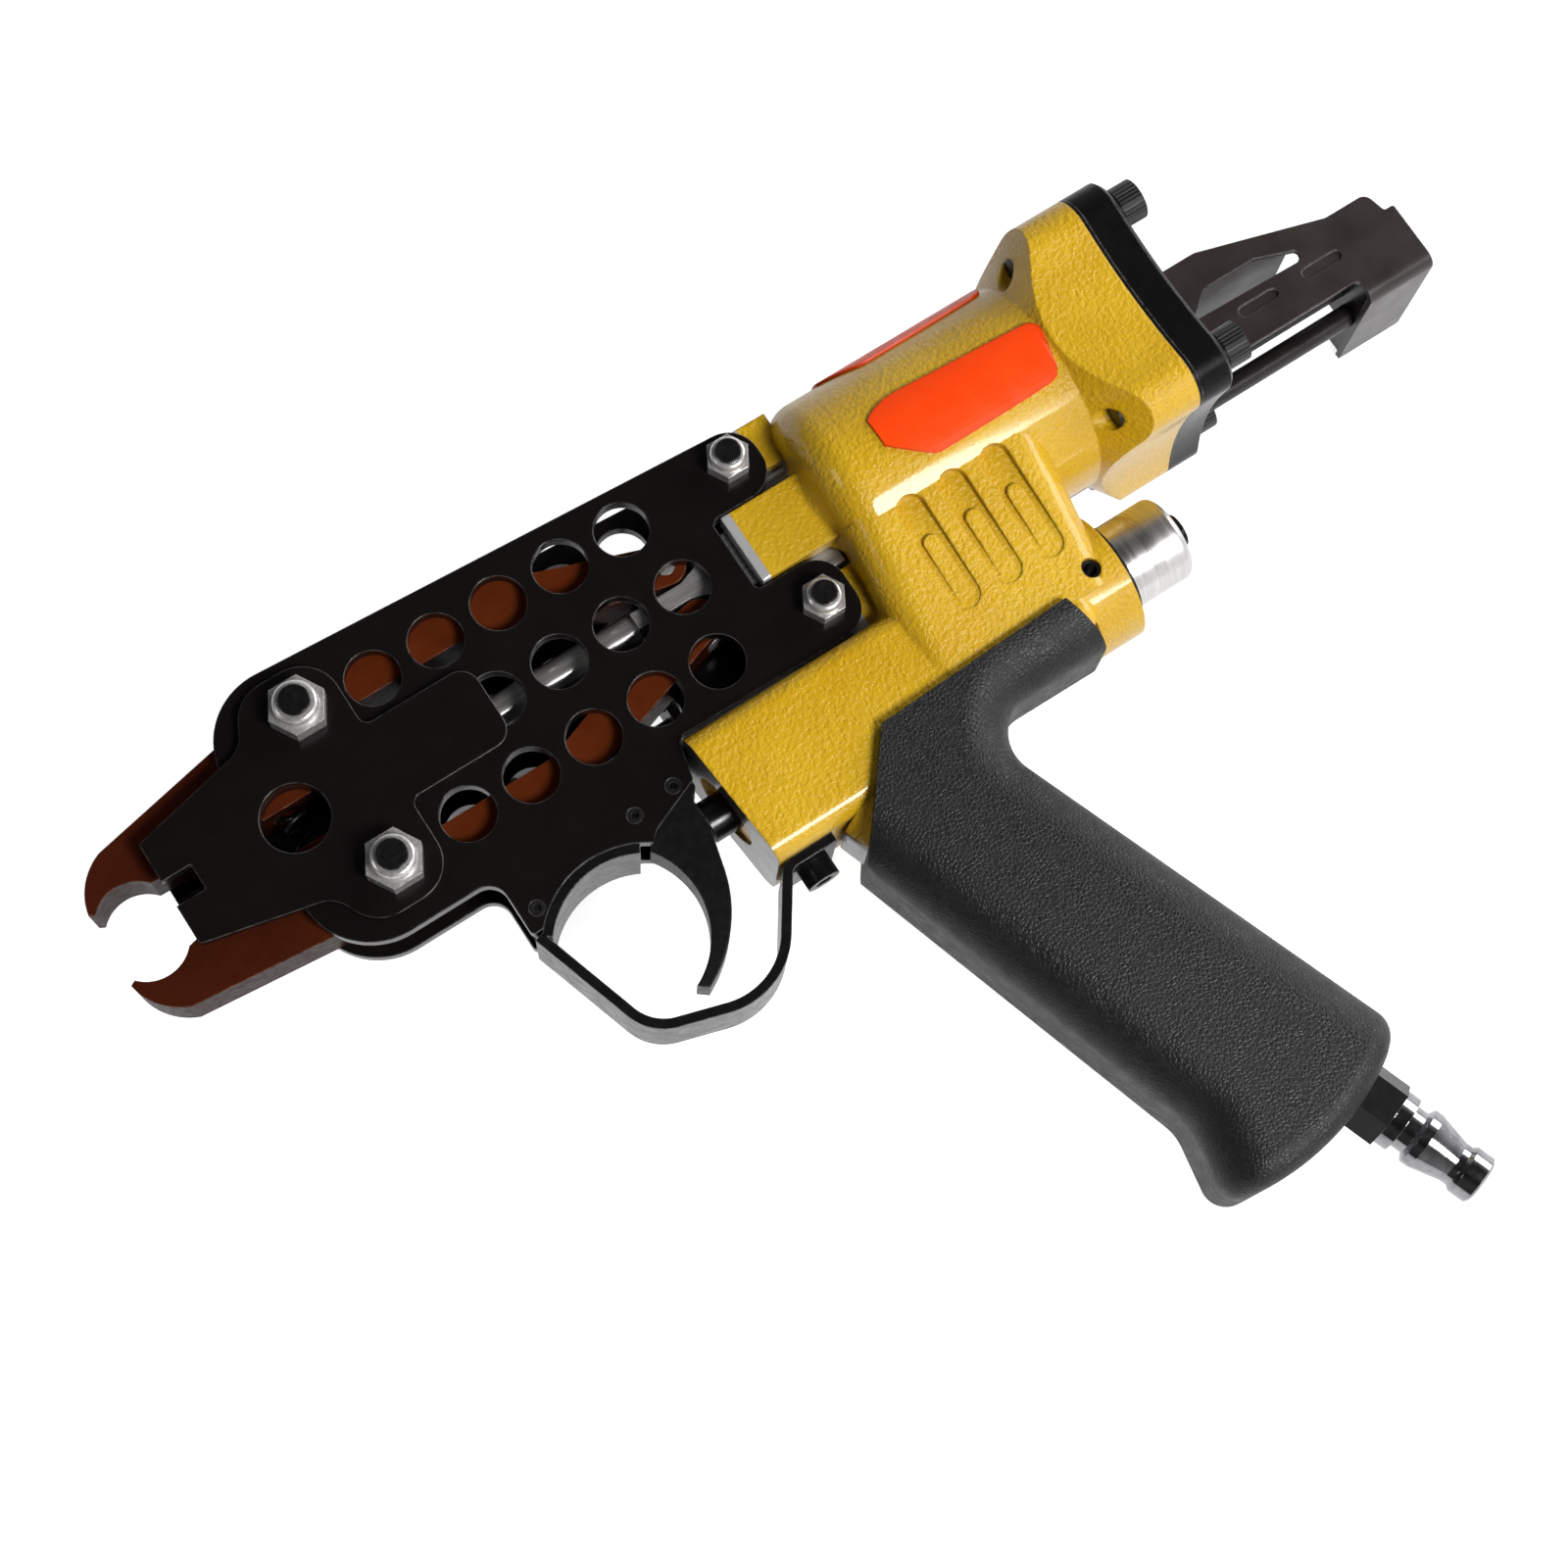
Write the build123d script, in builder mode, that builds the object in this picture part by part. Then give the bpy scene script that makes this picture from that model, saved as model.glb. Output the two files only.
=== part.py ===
from build123d import *
import os
from math import cos, pi, radians, sin, sqrt

os.makedirs("parts", exist_ok=True)

# Pneumatic hog ring plier lying on its right side on a bench, in millimetres.
# Tool coordinates: x runs back from the line through the jaw pivots, y from the tool axis
# towards the tool's top, z from the middle plane towards the tool's left side (upwards).
PIVOT_X = -102.25       # jaw pivot line, from the middle of the part's length
AXIS_Y = 74.98          # tool axis, from the middle of the part's depth

# Plate stack
PLATE_GAP = 12.0        # between the inner faces of the two side plates
PLATE = 3.0             # side plate thickness
NOSE_PLATE = 2.0        # outer nose plate thickness
PLATE_FRONT = -18.5     # front edge of the side plates
PLATE_REAR = 102.8      # rear end of the two ears
PLATE_FRONT_TOP = 29.7  # edges from the axis, where they meet the front
PLATE_FRONT_LOW = 29.6
PLATE_REAR_TOP = 22.6   # edges from the axis, at the ears
PLATE_REAR_LOW = 25.4
PLATE_STEP = 25.0       # lower edge behind the leg
PLATE_CORNER = 14.5     # front corner radius
EAR_GAP_HALF = 8.2      # half of the notch between the ears
EAR_GAP_FRONT = 86.8    # bottom of that notch
EAR_CORNER = 6.5
EAR_NOTCH_R = 1.5
LEG_FRONT = 14.4        # leg that carries the trigger and the guard
LEG_REAR = 56.0
LEG_BOTTOM = 42.6       # depth of the leg below the axis
LEG_STEP = 33.4         # depth of the leg behind the finger arc
LEG_HORN_X = 45.0       # where the leg's rear edge meets the finger arc
LEG_HORN_Y = -37.9
LEG_HORN_ROOT_X = 39.5
LEG_CORNER = 1.0
LEG_FOOT_R = 4.0        # between the leg and the front part
FINGER_X = 31.5         # centre of the finger arc
FINGER_Y = -55.8
FINGER_R = 19.8
HOLE = 11.0             # lightening holes
HOLE_PITCH = 14.0
HOLE_ROW = 16.2         # outer rows, from the axis
UPPER_HOLES_X = 15.3    # first hole of each row
LOWER_HOLES_X = 16.6
MIDDLE_HOLES_X = 33.0
OUTER_HOLES = 5
MIDDLE_HOLES = 4
SIGHT_HOLE = 13.5       # large hole over the jaw spring
SIGHT_X = -11.2

# Nose plates
NOSE_FRONT = -38.3
NOSE_HALF = 11.2        # half width of the front edge
NOSE_WAIST_X = -13.0    # where the taper meets the pivot wings
NOSE_WAIST = 17.0
NOSE_WING = 8.8         # wing half length, about the pivots
NOSE_WING_HALF = 26.0
TONGUE_REAR = 31.8
TONGUE_HALF = 8.5
NOTCH_HALF = 2.75       # ring notch in the front edge
NOTCH_DEPTH = 6.2
NOSE_CORNER = 1.0
NOSE_WAIST_R = 6.0
NOSE_WING_R = 8.0
TONGUE_FOOT_R = 2.0
TONGUE_CORNER = 4.0

# Jaws
JAW_SIDE_GAP = 0.3      # jaw to each side plate
JAW_PIVOT_Y = 17.5      # pivots, from the axis
PIVOT_D = 8.0           # shoulder of the pivot bolts
PIVOT_FIT = 0.04        # radial running fit
MOUTH_X = -46.2         # centre of the ring mouth
MOUTH_Y = -2.0
MOUTH_R = 7.8           # inner radius of each hook
MOUTH_SPLIT = 2.1       # offset of each hook's centre from the mouth centre
HOOK_TIP_X = -52.0
HOOK_BACK_X = -45.5
HOOK_BACK = 17.3        # hook back, from the mouth centre
HOOK_EDGE = 1.1         # blunt edge of the hook's tip
HOOK_BULGE = 5.8        # hook back, above the tip
HUB_FRONT = -9.3
HUB_TOP = 22.8          # outer edge in front of the pivot
ARM_FRONT = 8.0
ARM_OUTER = 23.8        # arm edges, from the axis
ARM_INNER = 14.6
ARM_BEND = 22.8         # outer edge where it turns inwards
UPPER_BEND_X = 41.5     # turn of the outer edge
LOWER_BEND_X = 38.0
UPPER_CROOK_X = 32.7    # turn of the inner edge
LOWER_CROOK_X = 36.0
JAW_SWING = 6.55        # closing angle of each jaw, degrees

# Rollers and drive wedge
STROKE = 24.0
ROLLER_X = 75.0
ROLLER_D = 9.0
ROLLER_W = 5.0
ROLLER_GAP = 0.2        # roller to wedge at rest
FORK_GAP = 0.3          # roller to fork cheek
ROLLER_PROUD = 0.3      # roller beyond the cheek
ROLLER_PIN_D = 4.0
PIN_FIT = 0.04
NECK_HALF = 1.8         # wedge neck between the rollers
WEDGE_SIDE_GAP = 0.5    # wedge to each side plate
WEDGE_REAR = 103.0
WEDGE_HEEL = 2.5
STEM_D = 7.0            # guide stem in front of the wedge
STEM_FRONT = 31.0
STEM_REAR = 64.0
ROD_D = 9.4
ROD_THREAD_D = 8.0

# Barrel and piston
BARREL_R = 22.5
BARREL_FRONT = 106.5    # front wall of the barrel
BARREL_REAR = 178.3
BORE_R = 19.0
BORE_FRONT = 113.0
BUSH_D = 16.0
BUSH_FRONT = 107.0
FOOT_R = 5.0            # concave foot of the barrel's front wall
SHOULDER_R = 6.5        # convex shoulder above it
PISTON_FRONT = 152.0
PISTON_LENGTH = 10.0
PISTON_FIT = 0.1
RING_D = 3.0            # piston seal section
SEAL_SQUEEZE = 0.4
GROOVE_GAP = 0.3        # seal to each side of its groove
PISTON_NUT_AF = 13.0
PISTON_NUT = 6.0
ROD_PROUD = 1.0         # rod beyond the piston nut
SPRING_R = 9.5          # return spring sleeve, mean radius
SPRING_WALL = 2.2

# Rear flange and end cap
SCREW_Y = 17.8          # cap screws, from the axis in y and z
LOBE_R = 7.2
LOBE_FRONT = 167.5
LOBE_RAMP = 9.0         # sloped front of each lobe
FLANGE_WAIST = 23.2     # half width between two lobes
CAP = 7.5
CAP_EDGE = 0.8
CAP_SOCKET = 4.0
GASKET = 0.8
CAP_SCREW_D = 5.0
CAP_HEAD_D = 8.5
CAP_HEAD = 5.0
CAP_SCREW_FRONT = 163.0
WASHER = 1.3
WASHER_D = 8.1
CAP_BOSS_R = 12.0
CAP_BOSS = 2.0

# Front tang of the housing, between the plates
TANG_FRONT = 87.6
TANG_HALF = 22.6
SLOT_HALF = 12.6        # wedge slot, half width
BRIDGE_HALF = 7.6       # raised bridge between the ears
BRIDGE_FRONT = 88.6
BRIDGE_PROUD = 1.0      # bridge beyond the plates' outer faces
HOUSING_LAP = 2.0       # overlap of the casting's own blocks

# Valve block, neck and valve
BLOCK_Z = 28.0          # thickness
BLOCK_FRONT = 59.3
BLOCK_RAKE = 2.6        # lean of the front face
BLOCK_TOP = -26.2
BLOCK_BOTTOM = -56.0
BLOCK_REAR = 140.0
BLOCK_HEEL = -50.5      # underside behind the handle core
BLOCK_HEEL_X = 104.0
BLOCK_STEP_X = 97.0
BLOCK_EDGE = 4.0
BLOCK_CORNER = 5.0
NECK_TOP_Y = -9.0
NECK_TOP_FRONT = 106.3
NECK_TOP_REAR = 150.0
NECK_TOP_Z = 40.0
NECK_LOW_Y = -44.0
NECK_LOW_FRONT = 102.4
NECK_LOW_REAR = 146.0
NECK_CORNER = 6.0
VALVE_Y = -40.2
VALVE_BORE_D = 16.0
VALVE_BOSS_R = 13.6
VALVE_BOSS_FRONT = 138.5
VALVE_BOSS_REAR = 148.5
LOUVRE_X = 118.6        # first louvre recess
LOUVRE_Y = -22.5
LOUVRE_PITCH = 9.7
LOUVRE_LENGTH = 25.0
LOUVRE_WIDTH = 6.2
LOUVRE_DEPTH = 1.05     # at mid length; each floor runs out towards the bottom
LOUVRE_FLOOR_TILT = 0.105
LOUVRE_BAR = 1.2        # plain raised bar in each recess
LOUVRE_BAR_SINK = 0.35  # bar below the flank
LOUVRE_BAR_LENGTH = 15.0
LOUVRE_BAR_WIDTH = 3.4
LOUVRE_BAR_LOW = 1.2    # bar to the recess's lower end
LOUVRE_ROUND = 0.48     # corner radius per width
LOUVRES = 3
STEM_HEAD_D = 8.6
STEM_HEAD_FRONT = 54.6
STEM_HEAD = 11.0
STEM_ROD_D = 5.0
STEM_TAIL = 5.0         # stem behind the poppet
POPPET_D = 12.0
POPPET_X = 76.0
POPPET = 3.0
VALVE_BUSH_FRONT = 60.4
VALVE_BUSH_REAR = 72.0
VALVE_TRAVEL = 1.8
VALVE_SEAT_FRONT = 96.0
VALVE_SEAT = 7.0
SEAT_BORE_D = 7.0
VALVE_SPRING_D = 11.0
EXHAUST_D = 18.0
EXHAUST_REAR = 164.0
EXHAUST_COLLAR_D = 21.0
EXHAUST_COLLAR = 1.6
EXHAUST_KNOB_D = 7.0
EXHAUST_KNOB = 2.4
EXHAUST_PLUG_D = 4.0
EXHAUST_PLUG = 4.0
EXHAUST_EDGE = 1.5
EXHAUST_TAIL = 18.0     # spigot inside the boss
CROSS_PIN_X = 142.7
CROSS_PIN_D = 4.0
CROSS_PIN_BORE = 2.8
CROSS_PIN = 26.0
FIT = 0.05              # radial gap of fixed round fits

# Trigger and guard
TRIGGER_X = 52.1
TRIGGER_Y = -32.4
TRIGGER_Z = 9.0
TRIGGER_PIN_D = 3.0
PIN_BORE_D = 1.4        # rolled pins are hollow
TRIGGER_HUB = 4.2
TRIGGER_ROUND = 0.7     # rounding of the root's corners
TRIGGER_BROW = -29.8    # top edge of the root, at the stop pin
TRIGGER_CHIN = -37.0    # root's front edge ends
TRIGGER_NECK = -33.8    # root's rear edge ends
STEM_PAD_TOP = -35.7    # flat that meets the valve stem
STEM_PAD_LOW = -41.5
LIP_X = 42.1            # front edge of the blade
LIP_Y = -40.0
BLADE_FRONT_X = 45.6
BLADE_FRONT_Y = -52.0
TIP_FRONT_X = 35.6
TIP_FRONT_Y = -66.5
TIP_BACK_X = 37.6       # back edge of the blade
TIP_BACK_Y = -68.1
BLADE_BACK_X = 47.9
BLADE_BACK_Y = -59.5
SHOULDER_X = 52.5
SHOULDER_Y = -49.2
TRIGGER_GAP = 0.1       # trigger to the stop pin and to the valve stem at rest
TRIGGER_SWING = 12.0    # pull, degrees
STOP_PIN_X = 42.9
STOP_PIN_Y = -33.4
GUARD_PIN_X = 17.9
GUARD_PIN_Y = -38.6
GUARD = 2.0             # strip thickness
GUARD_TOP_X = 15.3      # corners of the strip's middle line
GUARD_TOP_Y = -43.4
GUARD_FRONT_X = 23.6
GUARD_FRONT_Y = -69.5
GUARD_LOW_X = 48.3
GUARD_LOW_Y = -77.0
GUARD_HEEL_X = 62.0
GUARD_FRONT_R = 9.5
GUARD_LOW_R = 15.0
GUARD_HEEL_R = 3.0
LINING_FROM = 62        # arc of the lining, degrees
LINING_SPAN = 80
LUG_MARGIN = 2.7        # lug about its pin
LUG_CORNER = 1.0
GUARD_FOOT_REAR = 72.5
GUARD_SCREW_X = 67.6
GUARD_SCREW_D = 4.0
GUARD_SCREW = 6.5       # thread in the block
GUARD_SOCKET = 3.5
GUARD_HEAD_D = 7.0
GUARD_HEAD = 4.0

# Grip
GRIP_TILT = 20.0        # grip axis behind the square, degrees
GRIP_Z = 33.0
GRIP_EDGE = 10.0        # rounding of the front and back
GRIP_FOOT_EDGE = 5.0    # rounding of the foot
GRIP_FRONT_TOP_X = 74.6
GRIP_FRONT_TOP_Y = -65.2
GRIP_TOP_FRONT_X = 90.8
GRIP_TOP_FRONT_Y = -44.8
GRIP_TOP_REAR_X = 134.4
GRIP_TOP_REAR_Y = -43.0
GRIP_TANG_X = 137.8
GRIP_TANG_Y = -54.2
GRIP_WEB_X = 106.9
GRIP_WEB_Y = -54.0
GRIP_WEB_R = 8.5
GRIP_HEEL_X = 141.7
GRIP_HEEL_Y = -144.0
GRIP_FOOT_X = 123.0
GRIP_FOOT_Y = -154.0
GRIP_TOE_X = 95.4
GRIP_TOE_Y = -154.9
GRIP_LIP_X = 98.2
GRIP_LIP_Y = -138.6
GRIP_LIP_R = 10.0
CORE_TOP_X = 88.9       # core centre line at its top
CORE_TOP_Y = -52.0
SLEEVE_FLOOR = 9.6      # sleeve under the core's end, on the plug axis
CORE_DEPTH = 30.0
CORE_Z = 25.0
CORE_CORNER = 8.0
AIR_PASSAGE = 40.0      # depth of the air bore in the core

# Air inlet
INLET_OFFSET = 5.35     # plug axis behind the grip's centre line
INLET_START = 106.6     # underside of the sleeve on the plug axis, from the core's top
INLET_WASHER = 0.8
INLET_WASHER_D = 15.0
INLET_HEX = 12.0        # across flats
INLET_HEX_LENGTH = 7.2
INLET_SPIGOT_D = 9.0
INLET_SPIGOT = 20.0
INLET_OPENING_D = 12.0
PLUG_BORE_D = 5.0
NIPPLE = 20.6
NIPPLE_D = 12.0
NIPPLE_COLLAR_D = 11.8
NIPPLE_COLLAR = 2.8
NIPPLE_NECK_D = 9.2
NIPPLE_NECK = 2.6
NIPPLE_RIM = 1.8
NIPPLE_WAIST_D = 8.8
NIPPLE_WAIST = 1.4
NIPPLE_TIP_D = 10.2
NIPPLE_TIP = 4.0
NIPPLE_SLOPE = 0.8      # length of the short cones
NIPPLE_EDGE = 0.5

# Magazine on the right side
SHEET = 1.4
MAG_TOP = 25.4          # web face, below the middle plane
MAG_DEPTH = 58.0        # lowest edge of the tail hood
MAG_FRONT = 116.0
MAG_HALF = 9.8
MAG_CORNER = 3.0
TAIL_FLARE = 190.0      # where the strip starts to widen
TAIL_FRONT = 204.0
TAIL_REAR = 257.6
TAIL_FIN = 14.1         # upper edge of the tail fin
TAIL_FIN_REAR = 214.2
TAIL_FIN_R = 8.0
TAIL_BACK_X = 243.2     # foot of the fin's sloping edge
TAIL_BACK = 5.7
TAIL_LUMP_X = 253.8     # rounded upper corner of the hood
TAIL_LUMP_R = 2.4
TAIL_STEP_X = 255.2
TAIL_STEP = 0.4
TAIL_FLAP_Y = -15.2
TAIL_FLAP_FRONT = 241.0
TAIL_BEND_R = 3.0       # outer radius of the bend to the flap
WINDOW_FRONT = 205.0
WINDOW_RISE_X = 211.4
WINDOW_FALL_X = 224.2
WINDOW_REAR = 235.4
WINDOW_SILL_X = 232.0
WINDOW_LOW = 1.2
WINDOW_TOP = 6.2
WINDOW_END = 2.2
WINDOW_SILL = 0.5
WINDOW_R = 1.2
CHANNEL_FRONT = 211.0   # wall under the fin
CHANNEL_REAR = 236.0
CHANNEL_LOW = -52.0
DIMPLE_X = 219.5        # two pressed ovals in the web
DIMPLE_PITCH = 16.7
DIMPLE_Y = -2.6
DIMPLE_LENGTH = 10.0
DIMPLE_WIDTH = 2.5
DIMPLE = 0.5
RAIL_Z = -42.0
RAIL_W = 5.0
RAIL_H = 5.6
RAIL_NOSE_X = -35.4
RAIL_END = 244.5
RAIL_TIP_GAP = 0.5      # rail tip to the jaws
GUIDE_D = 5.0
GUIDE_Y = -11.3
THIN_D = 2.4
THIN_Y = -7.0
THIN_Z = -37.4
END_BLOCK = 3.0
END_BLOCK_TOP = 4.0
END_LEG_Y = -9.8        # leg of the end block along the flap
END_LEG_LOW = -57.0
RAIL_MARGIN = 1.5       # metal round the rail and rods in their blocks
BRACKET_FRONT = 10.0
BRACKET_REAR = 30.0
BRACKET_HALF = 7.0
BRACKET = 3.0
BRACKET_SCREW_X = 13.0
BRACKET_SCREW_PITCH = 9.0
BRACKET_SCREW_D = 3.0
BRACKET_HEAD_D = 5.5
BRACKET_HEAD = 2.0
PUSHER_X = 66.0
PUSHER_LENGTH = 16.0
PUSHER_WALL = 2.0
PUSHER_FIT = 0.3
PUSHER_TRAVEL = 140.0
PUSHER_WIRE = 0.8
PUSHER_COIL_R = 3.0
PUSHER_TURNS = 22
COIL_GAP = 3.0          # pusher spring to the rail
FRAME_SCREW_X = 124.0
FRAME_SCREW_PITCH = 28.0
FRAME_SCREW_D = 4.0
FRAME_HEAD_D = 7.0
FRAME_HEAD = 2.4
PAD_D = 9.0             # pads on the barrel under the strip

MID_Z = MAG_DEPTH       # the tail hood stands on the bench
PLATE_IN = PLATE_GAP / 2
PLATE_OUT = PLATE_IN + PLATE
NOSE_OUT = PLATE_OUT + NOSE_PLATE
JAW = PLATE_GAP - 2 * JAW_SIDE_GAP
WEDGE_Z = PLATE_GAP - 2 * WEDGE_SIDE_GAP
RAIL_TIP_Z = -JAW / 2 - RAIL_TIP_GAP
STEM_REACH = POPPET_X + POPPET + STEM_TAIL
CORE_LENGTH = INLET_START - SLEEVE_FLOOR


def tool(x, y=0.0, z=0.0):
    """A point in tool coordinates, in the part's frame."""
    return (PIVOT_X + x, AXIS_Y + y, MID_Z + z)


def level(z):
    """Sketch plane parallel to the side plates, with the tool's x and y."""
    return Plane(tool(0, 0, z))


def station(x, y=0.0, z=0.0):
    """Sketch plane square to the tool axis: local x is the tool's y, local y its z."""
    return Plane(tool(x, y, z), x_dir=(0, 1, 0), z_dir=(1, 0, 0))


def below(x, y, z=0.0):
    """Sketch plane facing down the tool: local x is the tool's x, local y its z."""
    return Plane(tool(x, y, z), x_dir=(1, 0, 0), z_dir=(0, -1, 0))


def along_axis(y=0.0, z=0.0):
    """Line parallel to the tool axis."""
    return Axis(tool(0, y, z), (1, 0, 0))


def grow(plane, outline, amount, mode=Mode.ADD):
    """Extrude an outline drawn by a function from a plane."""
    with BuildSketch(plane) as face:
        outline()
    extrude(face.sketch, amount=amount, mode=mode)


def slab(outline, z_low, z_high, mode=Mode.ADD):
    """Extrude an outline between two levels."""
    grow(level(z_low), outline, z_high - z_low, mode)


def closed(points):
    """Face from corner points, each with its own corner radius."""
    with BuildLine() as rim:
        FilletPolyline(*[(x, y) for x, y, _ in points], radius=[r for _, _, r in points], close=True)
    make_face(rim.line)


def box(x0, x1, y0, y1):
    """Rectangle between two corners."""
    with Locations(((x0 + x1) / 2, (y0 + y1) / 2)):
        Rectangle(abs(x1 - x0), abs(y1 - y0))


def discs(points, diameter):
    """Round faces about points."""
    with Locations(*points):
        Circle(diameter / 2)


def ring(outer_d, inner_d):
    """Round face with a bore."""
    Circle(outer_d / 2)
    Circle(inner_d / 2, mode=Mode.SUBTRACT)


def drill(points, diameter):
    """Holes through the current sketch."""
    with Locations(*points):
        Circle(diameter / 2, mode=Mode.SUBTRACT)


UPPER_HOLES = [(UPPER_HOLES_X + i * HOLE_PITCH, HOLE_ROW) for i in range(OUTER_HOLES)]
LOWER_HOLES = [(LOWER_HOLES_X + i * HOLE_PITCH, -HOLE_ROW) for i in range(OUTER_HOLES)]
MIDDLE_ROW = [(MIDDLE_HOLES_X + i * HOLE_PITCH, 0) for i in range(MIDDLE_HOLES)]
REAR_BOLT_X = PLATE_REAR - EAR_CORNER
REAR_BOLT_Y = 17.0
REAR_BOLT_D = 5.0
PIVOTS = [(0, JAW_PIVOT_Y), (0, -JAW_PIVOT_Y)]
REAR_BOLTS = [(REAR_BOLT_X, REAR_BOLT_Y), (REAR_BOLT_X, -REAR_BOLT_Y)]
PLATE_PINS = [(STOP_PIN_X, STOP_PIN_Y), (GUARD_PIN_X, GUARD_PIN_Y)]
BRACKET_SCREWS = [(BRACKET_SCREW_X, 0), (BRACKET_SCREW_X + BRACKET_SCREW_PITCH, 0)]


def side_plate():
    """Outline of a side plate with the holes that both plates share."""
    closed([
        (PLATE_FRONT, PLATE_FRONT_TOP, PLATE_CORNER),
        (PLATE_REAR, PLATE_REAR_TOP, EAR_CORNER),
        (PLATE_REAR, EAR_GAP_HALF, EAR_CORNER),
        (EAR_GAP_FRONT, EAR_GAP_HALF, EAR_NOTCH_R),
        (EAR_GAP_FRONT, -EAR_GAP_HALF, EAR_NOTCH_R),
        (PLATE_REAR, -EAR_GAP_HALF, EAR_CORNER),
        (PLATE_REAR, -PLATE_REAR_LOW, EAR_CORNER),
        (LEG_REAR + 2 * LEG_CORNER, -PLATE_STEP, 2 * LEG_CORNER),
        (LEG_REAR, -LEG_STEP, LEG_CORNER),
        (LEG_HORN_X, LEG_HORN_Y, LEG_CORNER),
        (LEG_HORN_ROOT_X, -LEG_BOTTOM, LEG_CORNER),
        (LEG_FRONT, -LEG_BOTTOM, LEG_CORNER),
        (LEG_FRONT, -PLATE_FRONT_LOW, LEG_FOOT_R),
        (PLATE_FRONT, -PLATE_FRONT_LOW, PLATE_CORNER),
    ])
    drill([(FINGER_X, FINGER_Y)], 2 * FINGER_R)
    drill(UPPER_HOLES + LOWER_HOLES[:-1] + MIDDLE_ROW, HOLE)
    drill(PIVOTS, PIVOT_D)
    drill(REAR_BOLTS, REAR_BOLT_D)
    drill([(TRIGGER_X, TRIGGER_Y)] + PLATE_PINS, TRIGGER_PIN_D)


def nose_plate():
    """Outline of a nose plate: tapered front with the ring notch, pivot wings and tongue."""
    upper = [
        (NOSE_FRONT, NOSE_HALF, NOSE_CORNER),
        (NOSE_WAIST_X, NOSE_WAIST, NOSE_WAIST_R),
        (-NOSE_WING, NOSE_WING_HALF, NOSE_WING_R),
        (NOSE_WING, NOSE_WING_HALF, NOSE_WING_R),
        (NOSE_WING, TONGUE_HALF, TONGUE_FOOT_R),
        (TONGUE_REAR, TONGUE_HALF, TONGUE_CORNER),
    ]
    closed(upper + [(x, -y, r) for x, y, r in reversed(upper)])
    with Locations((NOSE_FRONT + NOTCH_DEPTH / 2, 0)):
        Rectangle(NOTCH_DEPTH, 2 * NOTCH_HALF, mode=Mode.SUBTRACT)
    drill(PIVOTS, PIVOT_D)


with BuildPart() as left_side_plate:
    slab(side_plate, PLATE_IN, PLATE_OUT)
    slab(lambda: discs([(SIGHT_X, 0)], SIGHT_HOLE), PLATE_IN, PLATE_OUT, Mode.SUBTRACT)
    slab(lambda: discs(LOWER_HOLES[-1:], HOLE), PLATE_IN, PLATE_OUT, Mode.SUBTRACT)
left_side_plate.part.label = "left_side_plate"
export_step(left_side_plate.part, "parts/left_side_plate.step")

with BuildPart() as right_side_plate:
    slab(side_plate, -PLATE_OUT, -PLATE_IN)
    slab(lambda: discs(BRACKET_SCREWS, BRACKET_SCREW_D), -PLATE_OUT, -PLATE_IN, Mode.SUBTRACT)
right_side_plate.part.label = "right_side_plate"
export_step(right_side_plate.part, "parts/right_side_plate.step")

with BuildPart() as left_nose_plate:
    slab(nose_plate, PLATE_OUT, NOSE_OUT)
    slab(lambda: discs([(SIGHT_X, 0)], SIGHT_HOLE), PLATE_OUT, NOSE_OUT, Mode.SUBTRACT)
left_nose_plate.part.label = "left_nose_plate"
export_step(left_nose_plate.part, "parts/left_nose_plate.step")

with BuildPart() as right_nose_plate:
    slab(nose_plate, -NOSE_OUT, -PLATE_OUT)
    slab(lambda: discs(BRACKET_SCREWS, BRACKET_SCREW_D), -NOSE_OUT, -PLATE_OUT, Mode.SUBTRACT)
right_nose_plate.part.label = "right_nose_plate"
export_step(right_nose_plate.part, "parts/right_nose_plate.step")

# Jaws: a hooked nose, a hub on the pivot bolt and an arm that bends in to a roller fork.
ROLLER_Y = NECK_HALF + ROLLER_GAP + ROLLER_D / 2
FORK_R = ROLLER_D / 2 - ROLLER_PROUD
SPRING_POCKET_D = 7.0
SPRING_POCKET = 3.0
JAW_FACE_Y = 4.2        # jaw edge in front of the pivots
JAW_CHEEK_Y = 7.8       # jaw edge under the pivots
FORK_RISE = 1.6
JAW_SPRING_R = 2.6


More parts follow.
